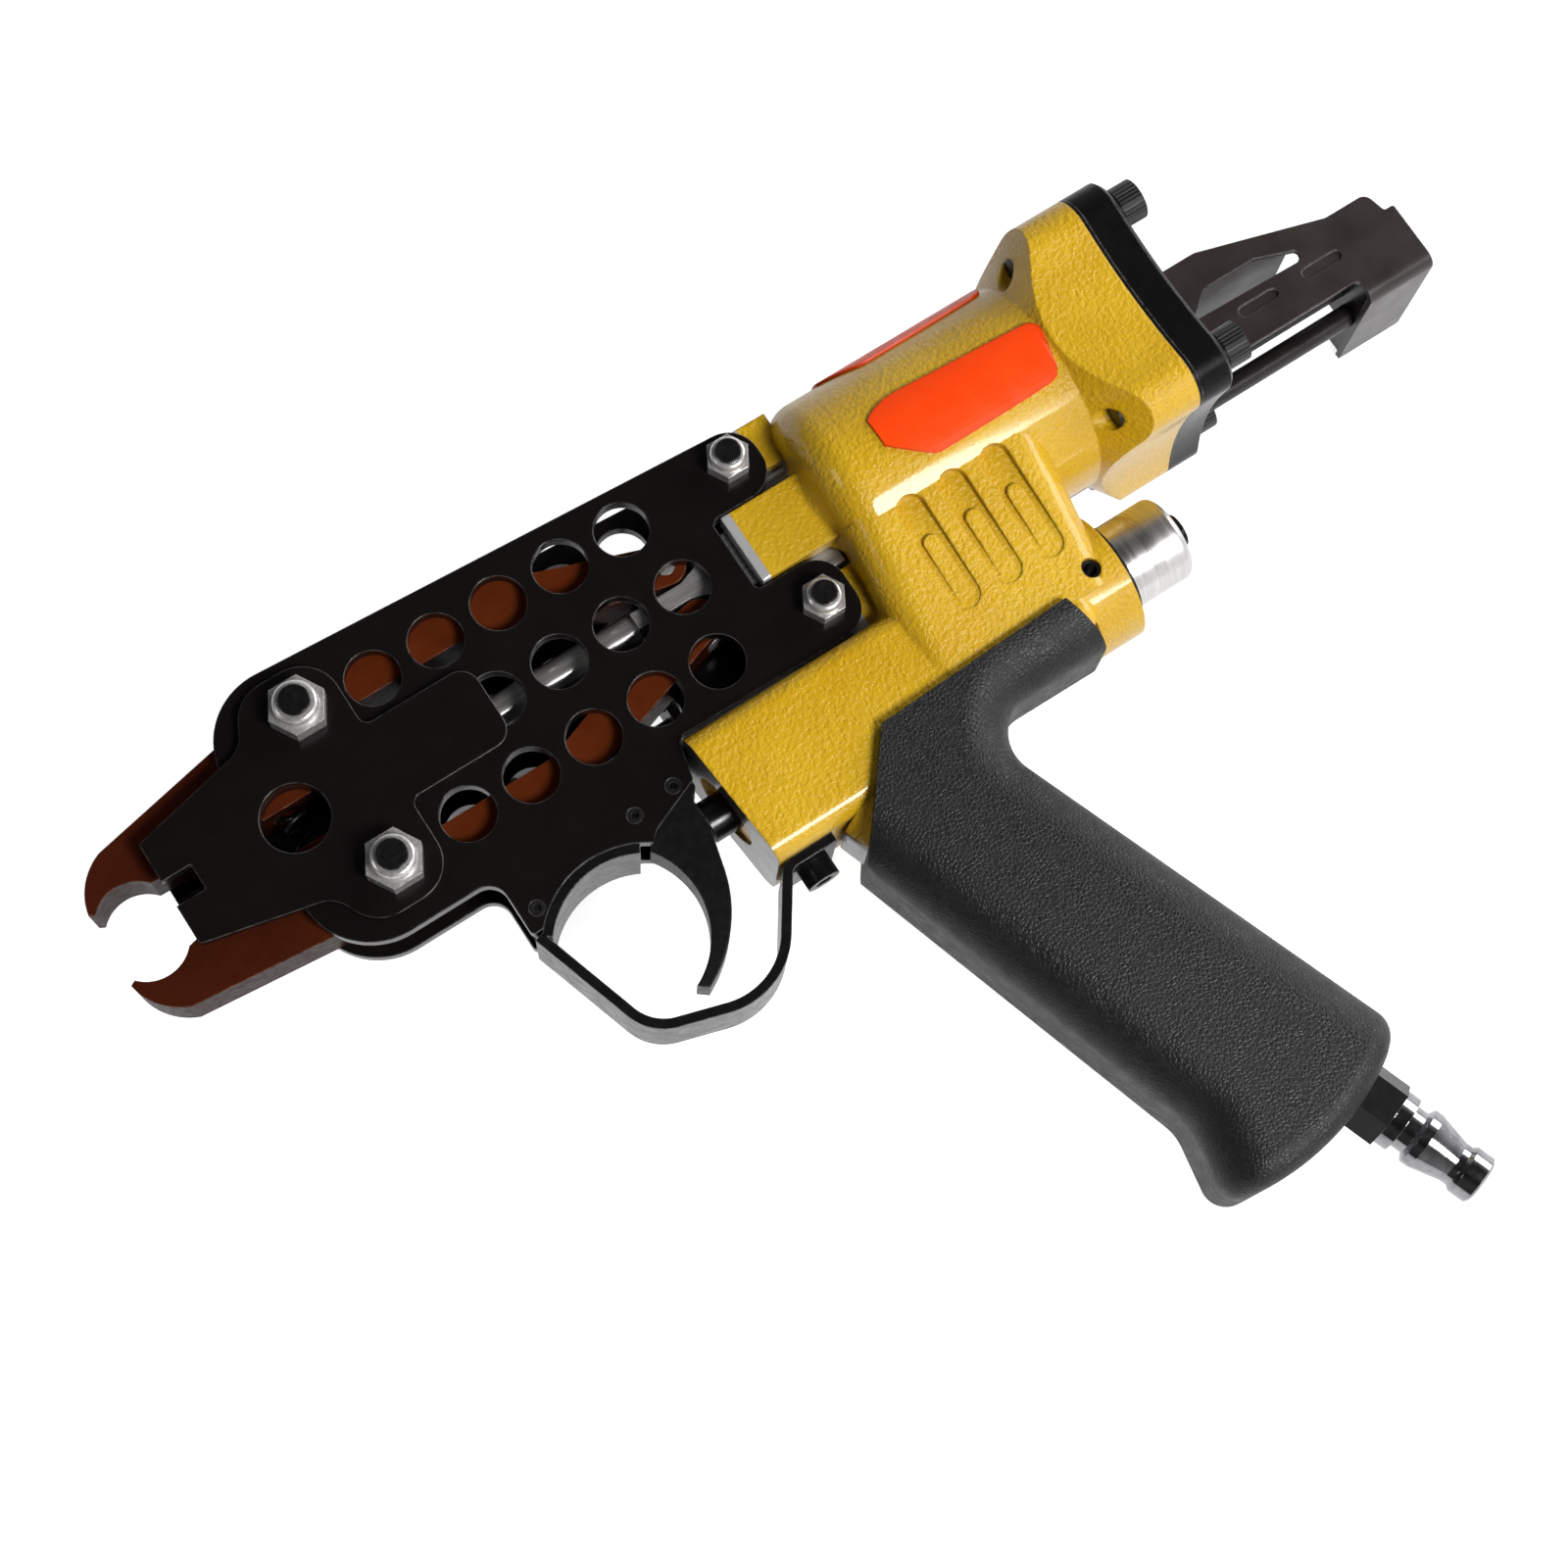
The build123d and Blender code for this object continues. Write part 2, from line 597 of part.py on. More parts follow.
def jaw(side):
    """Jaw outline: side is 1 for the upper jaw and -1 for the lower one."""
    def at(x, y):
        return (x, side * y)

    def mouth(x, y):
        return (x, MOUTH_Y + side * y)

    bend_x, crook_x = (UPPER_BEND_X, UPPER_CROOK_X) if side > 0 else (LOWER_BEND_X, LOWER_CROOK_X)
    tip_y = MOUTH_SPLIT + sqrt(MOUTH_R ** 2 - (HOOK_TIP_X - MOUTH_X) ** 2)
    tip = mouth(HOOK_TIP_X, tip_y)
    tip_back = mouth(HOOK_TIP_X - HOOK_EDGE, tip_y + HOOK_EDGE / 2)
    hook_back = mouth(HOOK_BACK_X, HOOK_BACK)
    root = mouth(MOUTH_X + MOUTH_R * cos(radians(40)), MOUTH_SPLIT + MOUTH_R * sin(radians(40)))
    fork_top = at(ROLLER_X + FORK_R * sin(radians(20)), ROLLER_Y + FORK_R * cos(radians(20)))
    fork_low = at(ROLLER_X, ROLLER_Y - FORK_R)
    with BuildLine() as rim:
        Line(tip, tip_back)
        ThreePointArc(tip_back, mouth(HOOK_TIP_X + HOOK_EDGE, tip_y + HOOK_BULGE), hook_back)
        Polyline(hook_back, at(HUB_FRONT, HUB_TOP), at(ARM_FRONT, ARM_OUTER), at(bend_x, ARM_BEND), fork_top)
        ThreePointArc(fork_top, at(ROLLER_X + FORK_R, ROLLER_Y), fork_low)
        Polyline(fork_low, at(ROLLER_X - 2 * FORK_R, ROLLER_Y - FORK_R + FORK_RISE),
                 at(crook_x, ARM_INNER), at(PIVOT_D + JAW_SPRING_R, ARM_INNER), at(JAW_SPRING_R, JAW_CHEEK_Y),
                 at(SIGHT_X + SPRING_POCKET_D, JAW_FACE_Y), at(SIGHT_X - SPRING_POCKET_D, JAW_FACE_Y), root)
        ThreePointArc(root, mouth(MOUTH_X, MOUTH_SPLIT + MOUTH_R), tip)
    make_face(rim.line)
    drill([at(0, JAW_PIVOT_Y)], PIVOT_D + 2 * PIVOT_FIT)
    drill([at(ROLLER_X, ROLLER_Y)], ROLLER_PIN_D)


def jaw_body(side):
    """Jaw solid with its roller slot and spring pocket."""
    slab(lambda: jaw(side), -JAW / 2, JAW / 2)
    slot = ROLLER_W / 2 + FORK_GAP

    def fork():
        discs([(ROLLER_X, side * ROLLER_Y)], ROLLER_D + 2 * FORK_GAP)
        with Locations((ROLLER_X + ROLLER_D / 2, side * ROLLER_Y)):
            Rectangle(ROLLER_D, ROLLER_D + 2 * FORK_GAP)

    slab(fork, -slot, slot, Mode.SUBTRACT)
    pocket = below(SIGHT_X, side * JAW_FACE_Y)
    grow(pocket, lambda: Circle(SPRING_POCKET_D / 2), -side * SPRING_POCKET, Mode.SUBTRACT)


with BuildPart() as upper_jaw:
    jaw_body(1)
upper_jaw.part.label = "upper_jaw"
export_step(upper_jaw.part, "parts/upper_jaw.step")

with BuildPart() as lower_jaw:
    jaw_body(-1)
lower_jaw.part.label = "lower_jaw"
export_step(lower_jaw.part, "parts/lower_jaw.step")


def roller(side):
    """Roller with its bore, on the fork pin."""
    with Locations((ROLLER_X, side * ROLLER_Y)):
        ring(ROLLER_D, ROLLER_PIN_D + 2 * PIN_FIT)


def roller_pin(side):
    """Pin through both cheeks of a jaw fork."""
    discs([(ROLLER_X, side * ROLLER_Y)], ROLLER_PIN_D)


with BuildPart() as upper_roller:
    slab(lambda: roller(1), -ROLLER_W / 2, ROLLER_W / 2)
upper_roller.part.label = "upper_roller"
export_step(upper_roller.part, "parts/upper_roller.step")

with BuildPart() as lower_roller:
    slab(lambda: roller(-1), -ROLLER_W / 2, ROLLER_W / 2)
lower_roller.part.label = "lower_roller"
export_step(lower_roller.part, "parts/lower_roller.step")

with BuildPart() as upper_roller_pin:
    slab(lambda: roller_pin(1), -JAW / 2, JAW / 2)
upper_roller_pin.part.label = "upper_roller_pin"
export_step(upper_roller_pin.part, "parts/upper_roller_pin.step")

with BuildPart() as lower_roller_pin:
    slab(lambda: roller_pin(-1), -JAW / 2, JAW / 2)
lower_roller_pin.part.label = "lower_roller_pin"
export_step(lower_roller_pin.part, "parts/lower_roller_pin.step")


def biarc(p0, t0, p1, t1):
    """Two arcs from one point and heading to another, meeting along their tangents."""
    chord, spread = p1 - p0, t0 + t1
    square, lean = 2 * (1 - t0.dot(t1)), chord.dot(spread)
    reach = (sqrt(lean ** 2 + square * chord.dot(chord)) - lean) / square
    meet = (p0 + p1 + (t0 - t1) * reach) * 0.5
    TangentArc(p0, meet, tangent=t0)
    TangentArc(meet, p1, tangent=(p1 - t1 * reach) - (p0 + t0 * reach))


def coil(start, axis, side, length, radius, wire, turns):
    """Round wire wound about a line, with straight ends along it; returns the least gap between turns."""
    start, axis, side = Vector(start), Vector(axis), Vector(side)
    across = axis.cross(side)
    entry = wire + radius * COIL_ENTRY
    rise = (length - 2 * entry) / (2 * pi * (turns - 0.5))

    def point(turn):
        spoke = side * (radius * cos(turn)) + across * (radius * sin(turn))
        return start + spoke + axis * (rise * turn + entry - rise * pi / 2)

    def heading(turn):
        return (across * (radius * cos(turn)) - side * (radius * sin(turn)) + axis * rise).normalized()

    first, last = start + side * radius, start + side * radius + axis * length
    with BuildLine() as path:
        Line(first, first + axis * wire)
        biarc(first + axis * wire, axis, point(pi / 2), heading(pi / 2))
        for half in range(2 * turns - 1):
            a, b = (half + 0.5) * pi, (half + 1.5) * pi
            biarc(point(a), heading(a), point(b), heading(b))
        end = (2 * turns - 0.5) * pi
        biarc(point(end), heading(end), last - axis * wire, axis)
        Line(last - axis * wire, last)
    with BuildSketch(Plane(first, z_dir=axis)) as section:
        Circle(wire / 2)
    sweep(section.sketch, path=path.line)
    samples = [edge @ (step / 6) for edge in path.line.edges() for step in range(6)]
    skip = 12
    pairs = [(i, k) for i in range(len(samples)) for k in range(i + skip, len(samples))]
    return min((samples[i] - samples[k]).length for i, k in pairs) - wire


COIL_ENTRY = 0.7        # axial run of a spring's first quarter turn, per radius
JAW_SPRING_WIRE = 0.9
JAW_SPRING_TURNS = 4
JAW_SPRING_HALF = JAW_FACE_Y + SPRING_POCKET

with BuildPart() as jaw_spring:
    jaw_spring_gap = coil(tool(SIGHT_X, -JAW_SPRING_HALF), (0, 1, 0), (1, 0, 0), 2 * JAW_SPRING_HALF,
                          JAW_SPRING_R, JAW_SPRING_WIRE, JAW_SPRING_TURNS)
jaw_spring.part.label = "jaw_spring"
export_step(jaw_spring.part, "parts/jaw_spring.step")
print("jaw spring gap", round(jaw_spring_gap, 2))


def lock_nuts(points, z, across_flats, height, collar_d, bore):
    """Hexagon lock nuts with a round-edged collar, standing on a level."""
    def base():
        with Locations(*points):
            RegularPolygon(across_flats / 2, 6, major_radius=False)
            Circle(bore / 2, mode=Mode.SUBTRACT)

    hex_top = z + NUT_HEX * height
    slab(base, z, hex_top)
    for x, y in points:
        with BuildSketch(below(x, y)) as half:
            closed([
                (bore / 2, hex_top, 0),
                (collar_d / 2, hex_top, 0),
                (collar_d / 2, z + height, NUT_ROUND),
                (bore / 2, z + height, 0),
            ])
        revolve(half.sketch, axis=Axis(tool(x, y), (0, 0, 1)))


def bolts(points, z_head, head_across, head, z_shank, shank_d, z_end, thread_d):
    """Hexagon bolts whose heads sit under a level, with a shank and a thinner thread."""
    def hexagons():
        with Locations(*points):
            RegularPolygon(head_across / 2, 6, major_radius=False)

    slab(hexagons, z_head - head, z_head)
    slab(lambda: discs(points, shank_d), z_head, z_shank)
    slab(lambda: discs(points, thread_d), z_shank, z_end)


NUT_HEX = 0.62          # share of a lock nut's height that is hexagonal
NUT_ROUND = 1.0         # rounded edge of the collar
PIVOT_NUT = 7.0
PIVOT_NUT_AF = 10.4
PIVOT_NUT_COLLAR = 8.8
PIVOT_THREAD = 6.0
PIVOT_HEAD_AF = 12.0
PIVOT_HEAD = 4.0
REAR_NUT = 5.2
REAR_NUT_AF = 8.0
REAR_NUT_COLLAR = 7.2
REAR_HEAD = 3.5
STUD_PROUD = 1.0        # bolt end beyond its nut
PIVOT_STUD = NOSE_OUT + PIVOT_NUT + STUD_PROUD
REAR_STUD = PLATE_OUT + REAR_NUT + STUD_PROUD

with BuildPart() as jaw_pivot_bolts:
    bolts(PIVOTS, -NOSE_OUT, PIVOT_HEAD_AF, PIVOT_HEAD, NOSE_OUT, PIVOT_D, PIVOT_STUD, PIVOT_THREAD)
jaw_pivot_bolts.part.label = "jaw_pivot_bolts"
export_step(jaw_pivot_bolts.part, "parts/jaw_pivot_bolts.step")

with BuildPart() as jaw_pivot_nuts:
    lock_nuts(PIVOTS, NOSE_OUT, PIVOT_NUT_AF, PIVOT_NUT, PIVOT_NUT_COLLAR, PIVOT_THREAD)
jaw_pivot_nuts.part.label = "jaw_pivot_nuts"
export_step(jaw_pivot_nuts.part, "parts/jaw_pivot_nuts.step")

with BuildPart() as rear_plate_bolts:
    bolts(REAR_BOLTS, -PLATE_OUT, REAR_NUT_AF, REAR_HEAD, PLATE_OUT, REAR_BOLT_D, REAR_STUD, REAR_BOLT_D)
rear_plate_bolts.part.label = "rear_plate_bolts"
export_step(rear_plate_bolts.part, "parts/rear_plate_bolts.step")

with BuildPart() as rear_plate_nuts:
    lock_nuts(REAR_BOLTS, PLATE_OUT, REAR_NUT_AF, REAR_NUT, REAR_NUT_COLLAR, REAR_BOLT_D)
rear_plate_nuts.part.label = "rear_plate_nuts"
export_step(rear_plate_nuts.part, "parts/rear_plate_nuts.step")

with BuildPart() as plate_pins:
    with BuildSketch(level(-PLATE_OUT)):
        with Locations(*PLATE_PINS):
            ring(TRIGGER_PIN_D, PIN_BORE_D)
    extrude(amount=2 * PLATE_OUT)
plate_pins.part.label = "plate_pins"
export_step(plate_pins.part, "parts/plate_pins.step")

with BuildPart() as trigger_pin:
    with BuildSketch(level(-PLATE_OUT)):
        with Locations((TRIGGER_X, TRIGGER_Y)):
            ring(TRIGGER_PIN_D, PIN_BORE_D)
    extrude(amount=2 * PLATE_OUT)
trigger_pin.part.label = "trigger_pin"
export_step(trigger_pin.part, "parts/trigger_pin.step")

# Drive wedge: its flanks follow the rollers' path as the jaws close.
swing_cos = cos(radians(JAW_SWING))
swing_sin = sin(radians(JAW_SWING))
closed_x = ROLLER_X * swing_cos + (JAW_PIVOT_Y - ROLLER_Y) * swing_sin
closed_y = JAW_PIVOT_Y - (JAW_PIVOT_Y - ROLLER_Y) * swing_cos + ROLLER_X * swing_sin
WEDGE_SLOPE = (closed_y - ROLLER_Y) / (closed_x + STROKE - ROLLER_X)
flank_len = sqrt(1 + WEDGE_SLOPE ** 2)
flank_x = ROLLER_X + (ROLLER_D / 2 + ROLLER_GAP) * WEDGE_SLOPE / flank_len
flank_y = ROLLER_Y - (ROLLER_D / 2 + ROLLER_GAP) / flank_len
WEDGE_FRONT = flank_x - (flank_y - NECK_HALF) / WEDGE_SLOPE
WEDGE_HALF = NECK_HALF + (WEDGE_REAR - WEDGE_FRONT) * WEDGE_SLOPE

with BuildPart() as drive_wedge:
    with BuildSketch(level(-WEDGE_Z / 2)):
        with BuildLine():
            Polyline((STEM_REAR, NECK_HALF), (WEDGE_FRONT, NECK_HALF), (WEDGE_REAR, WEDGE_HALF),
                     (WEDGE_REAR + WEDGE_HEEL, WEDGE_HALF), (WEDGE_REAR + WEDGE_HEEL, -WEDGE_HALF),
                     (WEDGE_REAR, -WEDGE_HALF), (WEDGE_FRONT, -NECK_HALF), (STEM_REAR, -NECK_HALF),
                     close=True)
        make_face()
    extrude(amount=WEDGE_Z)
    with BuildSketch(level(0)):
        with BuildLine():
            Polyline((STEM_FRONT, 0), (STEM_FRONT, STEM_D / 2 - 1), (STEM_FRONT + 1, STEM_D / 2),
                     (STEM_REAR, STEM_D / 2), (STEM_REAR, 0), close=True)
        make_face()
    revolve(axis=along_axis())
    with BuildSketch(station(WEDGE_REAR + WEDGE_HEEL)):
        Circle(ROD_D / 2)
    extrude(amount=PISTON_FRONT - WEDGE_REAR - WEDGE_HEEL)
    with BuildSketch(station(PISTON_FRONT)):
        Circle(ROD_THREAD_D / 2)
    extrude(amount=PISTON_LENGTH + PISTON_NUT + ROD_PROUD)
drive_wedge.part.label = "drive_wedge"
export_step(drive_wedge.part, "parts/drive_wedge.step")

GROOVE_R = BORE_R - RING_D + SEAL_SQUEEZE
GROOVE_HALF = RING_D / 2 + GROOVE_GAP
PISTON_MID = PISTON_FRONT + PISTON_LENGTH / 2

with BuildPart() as piston:
    with BuildSketch(level(0)):
        with BuildLine():
            Polyline((PISTON_FRONT, ROD_THREAD_D / 2), (PISTON_FRONT, BORE_R - PISTON_FIT),
                     (PISTON_MID - GROOVE_HALF, BORE_R - PISTON_FIT), (PISTON_MID - GROOVE_HALF, GROOVE_R),
                     (PISTON_MID + GROOVE_HALF, GROOVE_R), (PISTON_MID + GROOVE_HALF, BORE_R - PISTON_FIT),
                     (PISTON_FRONT + PISTON_LENGTH, BORE_R - PISTON_FIT),
                     (PISTON_FRONT + PISTON_LENGTH, ROD_THREAD_D / 2), close=True)
        make_face()
    revolve(axis=along_axis())
piston.part.label = "piston"
export_step(piston.part, "parts/piston.step")

with BuildPart() as piston_seal:
    with BuildSketch(level(0)):
        with Locations((PISTON_MID, (GROOVE_R + BORE_R) / 2)):
            Rectangle(RING_D, BORE_R - GROOVE_R - 2 * FIT)
    revolve(axis=along_axis())
piston_seal.part.label = "piston_seal"
export_step(piston_seal.part, "parts/piston_seal.step")

with BuildPart() as piston_nut:
    with BuildSketch(station(PISTON_FRONT + PISTON_LENGTH)):
        RegularPolygon(PISTON_NUT_AF / 2, 6, major_radius=False)
        Circle(ROD_THREAD_D / 2, mode=Mode.SUBTRACT)
    extrude(amount=PISTON_NUT)
piston_nut.part.label = "piston_nut"
export_step(piston_nut.part, "parts/piston_nut.step")

with BuildPart() as piston_return_spring:
    with BuildSketch(station(BORE_FRONT)):
        Circle(SPRING_R + SPRING_WALL / 2)
        Circle(SPRING_R - SPRING_WALL / 2, mode=Mode.SUBTRACT)
    extrude(amount=PISTON_FRONT - BORE_FRONT)
piston_return_spring.part.label = "piston_return_spring"
export_step(piston_return_spring.part, "parts/piston_return_spring.step")

with BuildPart() as rod_bush:
    with BuildSketch(station(BUSH_FRONT)):
        Circle(BUSH_D / 2)
        Circle(ROD_D / 2 + PISTON_FIT / 2, mode=Mode.SUBTRACT)
    extrude(amount=BORE_FRONT - BUSH_FRONT)
rod_bush.part.label = "rod_bush"
export_step(rod_bush.part, "parts/rod_bush.step")

# Housing: barrel, neck, valve block and handle core cast in one piece.
grip_dir = (sin(radians(GRIP_TILT)), -cos(radians(GRIP_TILT)))
rear_dir = (cos(radians(GRIP_TILT)), sin(radians(GRIP_TILT)))


def across_grip(down, back=0.0):
    """Sketch plane square to the grip axis: local x points to the grip's back, local y is the tool's z."""
    x = CORE_TOP_X + down * grip_dir[0] + back * rear_dir[0]
    y = CORE_TOP_Y + down * grip_dir[1] + back * rear_dir[1]
    return Plane(tool(x, y), x_dir=(rear_dir[0], rear_dir[1], 0), z_dir=(grip_dir[0], grip_dir[1], 0))


def plug_plane(down):
    """Sketch plane square to the air plug's axis."""
    return across_grip(down, INLET_OFFSET)


CAP_SCREWS = [(SCREW_Y, SCREW_Y), (SCREW_Y, -SCREW_Y), (-SCREW_Y, SCREW_Y), (-SCREW_Y, -SCREW_Y)]
FRAME_SCREWS = [(FRAME_SCREW_X, 0), (FRAME_SCREW_X + FRAME_SCREW_PITCH, 0)]
NECK = [
    (NECK_TOP_Y, NECK_TOP_FRONT, NECK_TOP_REAR, NECK_TOP_Z),
    (NECK_LOW_Y, NECK_LOW_FRONT, NECK_LOW_REAR, BLOCK_Z),
]
FLANK_TILT = (NECK_TOP_Z - BLOCK_Z) / 2 / (NECK_TOP_Y - NECK_LOW_Y)
LOUVRE_Z = NECK_TOP_Z / 2 - (NECK_TOP_Y - LOUVRE_Y) * FLANK_TILT


def lobes():
    """Square flange: a round lobe at each cap screw and hollow sides between them."""
    rise = FLANGE_WAIST - SCREW_Y
    side_r = (SCREW_Y ** 2 + rise ** 2 - LOBE_R ** 2) / (2 * (LOBE_R - rise))
    share = LOBE_R / (side_r + LOBE_R)
    near = SCREW_Y * (1 - share)
    far = SCREW_Y + (rise + side_r) * share
    corner = SCREW_Y + LOBE_R / sqrt(2)

    def turned(x, y, quarters):
        for _ in range(quarters):
            x, y = y, -x
        return (x, y)

    with BuildLine() as rim:
        for q in range(4):
            ThreePointArc(turned(-near, far, q), turned(0, FLANGE_WAIST, q), turned(near, far, q))
            ThreePointArc(turned(near, far, q), turned(corner, corner, q), turned(far, near, q))
    make_face(rim.line)


def louvre_plane(side, depth, tilt):
    """Plane under a flank of the neck, sunk by a depth at mid length."""
    plane = Plane(tool(0, LOUVRE_Y, side * LOUVRE_Z), x_dir=(1, 0, 0), z_dir=(0, -tilt, side))
    return plane.offset(-depth)


def louvre_row(width, length, shift=0.0):
    """The recesses side by side, or the bars in them."""
    with Locations(*[(LOUVRE_X + i * LOUVRE_PITCH, shift) for i in range(LOUVRES)]):
        RectangleRounded(width, length, width * LOUVRE_ROUND)


def louvre_bars():
    """A bar in the lower part of each recess."""
    louvre_row(LOUVRE_BAR_WIDTH, LOUVRE_BAR_LENGTH, (LOUVRE_BAR_LENGTH - LOUVRE_LENGTH) / 2 + LOUVRE_BAR_LOW)


with BuildPart() as valve_block:
    with BuildSketch(level(-BLOCK_Z / 2)) as block_outline:
        closed([
            (BLOCK_FRONT - BLOCK_RAKE / 2, BLOCK_TOP, 0),
            (BLOCK_REAR, BLOCK_TOP, BLOCK_CORNER),
            (BLOCK_REAR, BLOCK_HEEL, BLOCK_CORNER),
            (BLOCK_HEEL_X, BLOCK_HEEL, BLOCK_CORNER),
            (BLOCK_STEP_X, BLOCK_BOTTOM, BLOCK_CORNER),
            (BLOCK_FRONT + BLOCK_RAKE / 2, BLOCK_BOTTOM, 0),
        ])
    extrude(block_outline.sketch, amount=BLOCK_Z)
    block_faces = [e for e in valve_block.edges() if abs(abs(e.center().Z - MID_Z) - BLOCK_Z / 2) < 0.01]
    fillet([e for e in block_faces if e.center().X > PIVOT_X + BLOCK_FRONT + BLOCK_EDGE], BLOCK_EDGE)

with BuildPart() as lobe_ramps:
    grow(station(LOBE_FRONT - LOBE_RAMP), lobes, LOBE_RAMP)
    with BuildSketch(level(0)):
        with BuildLine():
            Polyline((LOBE_FRONT - LOBE_RAMP, 0), (LOBE_FRONT - LOBE_RAMP, BARREL_R - 1),
                     (LOBE_FRONT, SCREW_Y * sqrt(2) + LOBE_R), (LOBE_FRONT, 0), close=True)
        make_face()
    revolve(axis=along_axis(), mode=Mode.INTERSECT)

with BuildPart() as casting:
    with BuildSketch(level(0)):
        with BuildLine():
            Line((BARREL_FRONT - FOOT_R, 0), (BARREL_FRONT - FOOT_R, PLATE_OUT))
            RadiusArc((BARREL_FRONT - FOOT_R, PLATE_OUT), (BARREL_FRONT, PLATE_OUT + FOOT_R), -FOOT_R)
            Line((BARREL_FRONT, PLATE_OUT + FOOT_R), (BARREL_FRONT, BARREL_R - SHOULDER_R))
            RadiusArc((BARREL_FRONT, BARREL_R - SHOULDER_R), (BARREL_FRONT + SHOULDER_R, BARREL_R),
                      SHOULDER_R)
            Polyline((BARREL_FRONT + SHOULDER_R, BARREL_R), (BARREL_REAR, BARREL_R), (BARREL_REAR, 0),
                     (BARREL_FRONT - FOOT_R, 0))
        make_face()
    revolve(axis=along_axis())
    grow(station(LOBE_FRONT), lobes, BARREL_REAR - LOBE_FRONT)
    add(lobe_ramps.part)
    slab(lambda: box(TANG_FRONT, BARREL_FRONT + HOUSING_LAP, BLOCK_TOP - HOUSING_LAP / 2, TANG_HALF),
         -PLATE_IN, PLATE_IN)
    slab(lambda: box(BRIDGE_FRONT, BARREL_FRONT + HOUSING_LAP, -BRIDGE_HALF, BRIDGE_HALF),
         -PLATE_OUT - BRIDGE_PROUD, PLATE_OUT + BRIDGE_PROUD)
    add(valve_block.part)
    for y, front, rear, thick in NECK:
        with BuildSketch(below((front + rear) / 2, y)):
            RectangleRounded(rear - front, thick, NECK_CORNER)
    loft(ruled=True)
    grow(station(VALVE_BOSS_FRONT, VALVE_Y), lambda: Circle(VALVE_BOSS_R),
         VALVE_BOSS_REAR - VALVE_BOSS_FRONT)
    grow(across_grip(0), lambda: RectangleRounded(CORE_DEPTH, CORE_Z, CORE_CORNER), CORE_LENGTH)
    slab(lambda: discs(FRAME_SCREWS, PAD_D), -MAG_TOP, -BORE_R - 1)

with BuildPart() as main_housing:
    add(casting.part)
    for flank in (1, -1):
        grow(louvre_plane(flank, LOUVRE_DEPTH, LOUVRE_FLOOR_TILT),
             lambda: louvre_row(LOUVRE_WIDTH, LOUVRE_LENGTH), 4 * LOUVRE_DEPTH, Mode.SUBTRACT)
        grow(louvre_plane(flank, LOUVRE_BAR_SINK, FLANK_TILT), louvre_bars, -LOUVRE_BAR)
    grow(station(BORE_FRONT), lambda: Circle(BORE_R), BARREL_REAR - BORE_FRONT, Mode.SUBTRACT)
    grow(station(BUSH_FRONT), lambda: Circle(BUSH_D / 2), BORE_FRONT - BUSH_FRONT, Mode.SUBTRACT)
    slab(lambda: box(TANG_FRONT, BUSH_FRONT, -SLOT_HALF, SLOT_HALF), -PLATE_IN, PLATE_IN, Mode.SUBTRACT)
    slab(lambda: discs(REAR_BOLTS, REAR_BOLT_D + 2 * FIT), -PLATE_IN, PLATE_IN, Mode.SUBTRACT)
    grow(station(LOBE_FRONT - LOBE_RAMP), lambda: discs(CAP_SCREWS, CAP_SCREW_D + 2 * FIT),
         BARREL_REAR - LOBE_FRONT + LOBE_RAMP, Mode.SUBTRACT)
    grow(station(BLOCK_FRONT - BLOCK_RAKE, VALVE_Y), lambda: Circle(VALVE_BORE_D / 2),
         VALVE_BOSS_REAR - BLOCK_FRONT + BLOCK_RAKE, Mode.SUBTRACT)
    grow(plug_plane(CORE_LENGTH - AIR_PASSAGE), lambda: Circle(INLET_SPIGOT_D / 2 + FIT),
         AIR_PASSAGE + INLET_WASHER, Mode.SUBTRACT)
    slab(lambda: discs([(CROSS_PIN_X, VALVE_Y)], CROSS_PIN_D + 2 * FIT), -BLOCK_Z, BLOCK_Z, Mode.SUBTRACT)
    slab(lambda: discs(FRAME_SCREWS, FRAME_SCREW_D + 2 * FIT), -MAG_TOP, -BORE_R - 1, Mode.SUBTRACT)
    grow(below(GUARD_SCREW_X, BLOCK_BOTTOM + GUARD_SCREW), lambda: Circle(GUARD_SCREW_D / 2 + FIT),
         GUARD_SCREW + 1, Mode.SUBTRACT)
main_housing.part.label = "main_housing"
export_step(main_housing.part, "parts/main_housing.step")

# End cap with its gasket, screws and spring washers.
CAP_FRONT = BARREL_REAR + GASKET
CAP_REAR = CAP_FRONT + CAP


def flange():
    """Outline of the rear flange with its screw holes."""
    lobes()
    drill(CAP_SCREWS, CAP_SCREW_D + 2 * FIT)


def gasket():
    """Flange outline with the barrel's bore."""
    flange()
    Circle(BORE_R, mode=Mode.SUBTRACT)


with BuildPart() as end_cap_gasket:
    grow(station(BARREL_REAR), gasket, GASKET)
end_cap_gasket.part.label = "end_cap_gasket"
export_step(end_cap_gasket.part, "parts/end_cap_gasket.step")

with BuildPart() as end_cap:
    grow(station(CAP_FRONT), flange, CAP)
    chamfer(end_cap.faces().sort_by(Axis.X)[-1].outer_wire().edges(), CAP_EDGE)
    grow(station(CAP_REAR), lambda: Circle(CAP_BOSS_R), CAP_BOSS)
end_cap.part.label = "end_cap"
export_step(end_cap.part, "parts/end_cap.step")

with BuildPart() as end_cap_washers:
    grow(station(CAP_REAR), lambda: discs(CAP_SCREWS, WASHER_D), WASHER)
    grow(station(CAP_REAR), lambda: discs(CAP_SCREWS, CAP_SCREW_D + 2 * FIT), WASHER, Mode.SUBTRACT)
end_cap_washers.part.label = "end_cap_washers"
export_step(end_cap_washers.part, "parts/end_cap_washers.step")


def sockets():
    """Hexagon sockets of the cap screws."""
    with Locations(*CAP_SCREWS):
        RegularPolygon(CAP_SOCKET / 2, 6, major_radius=False)


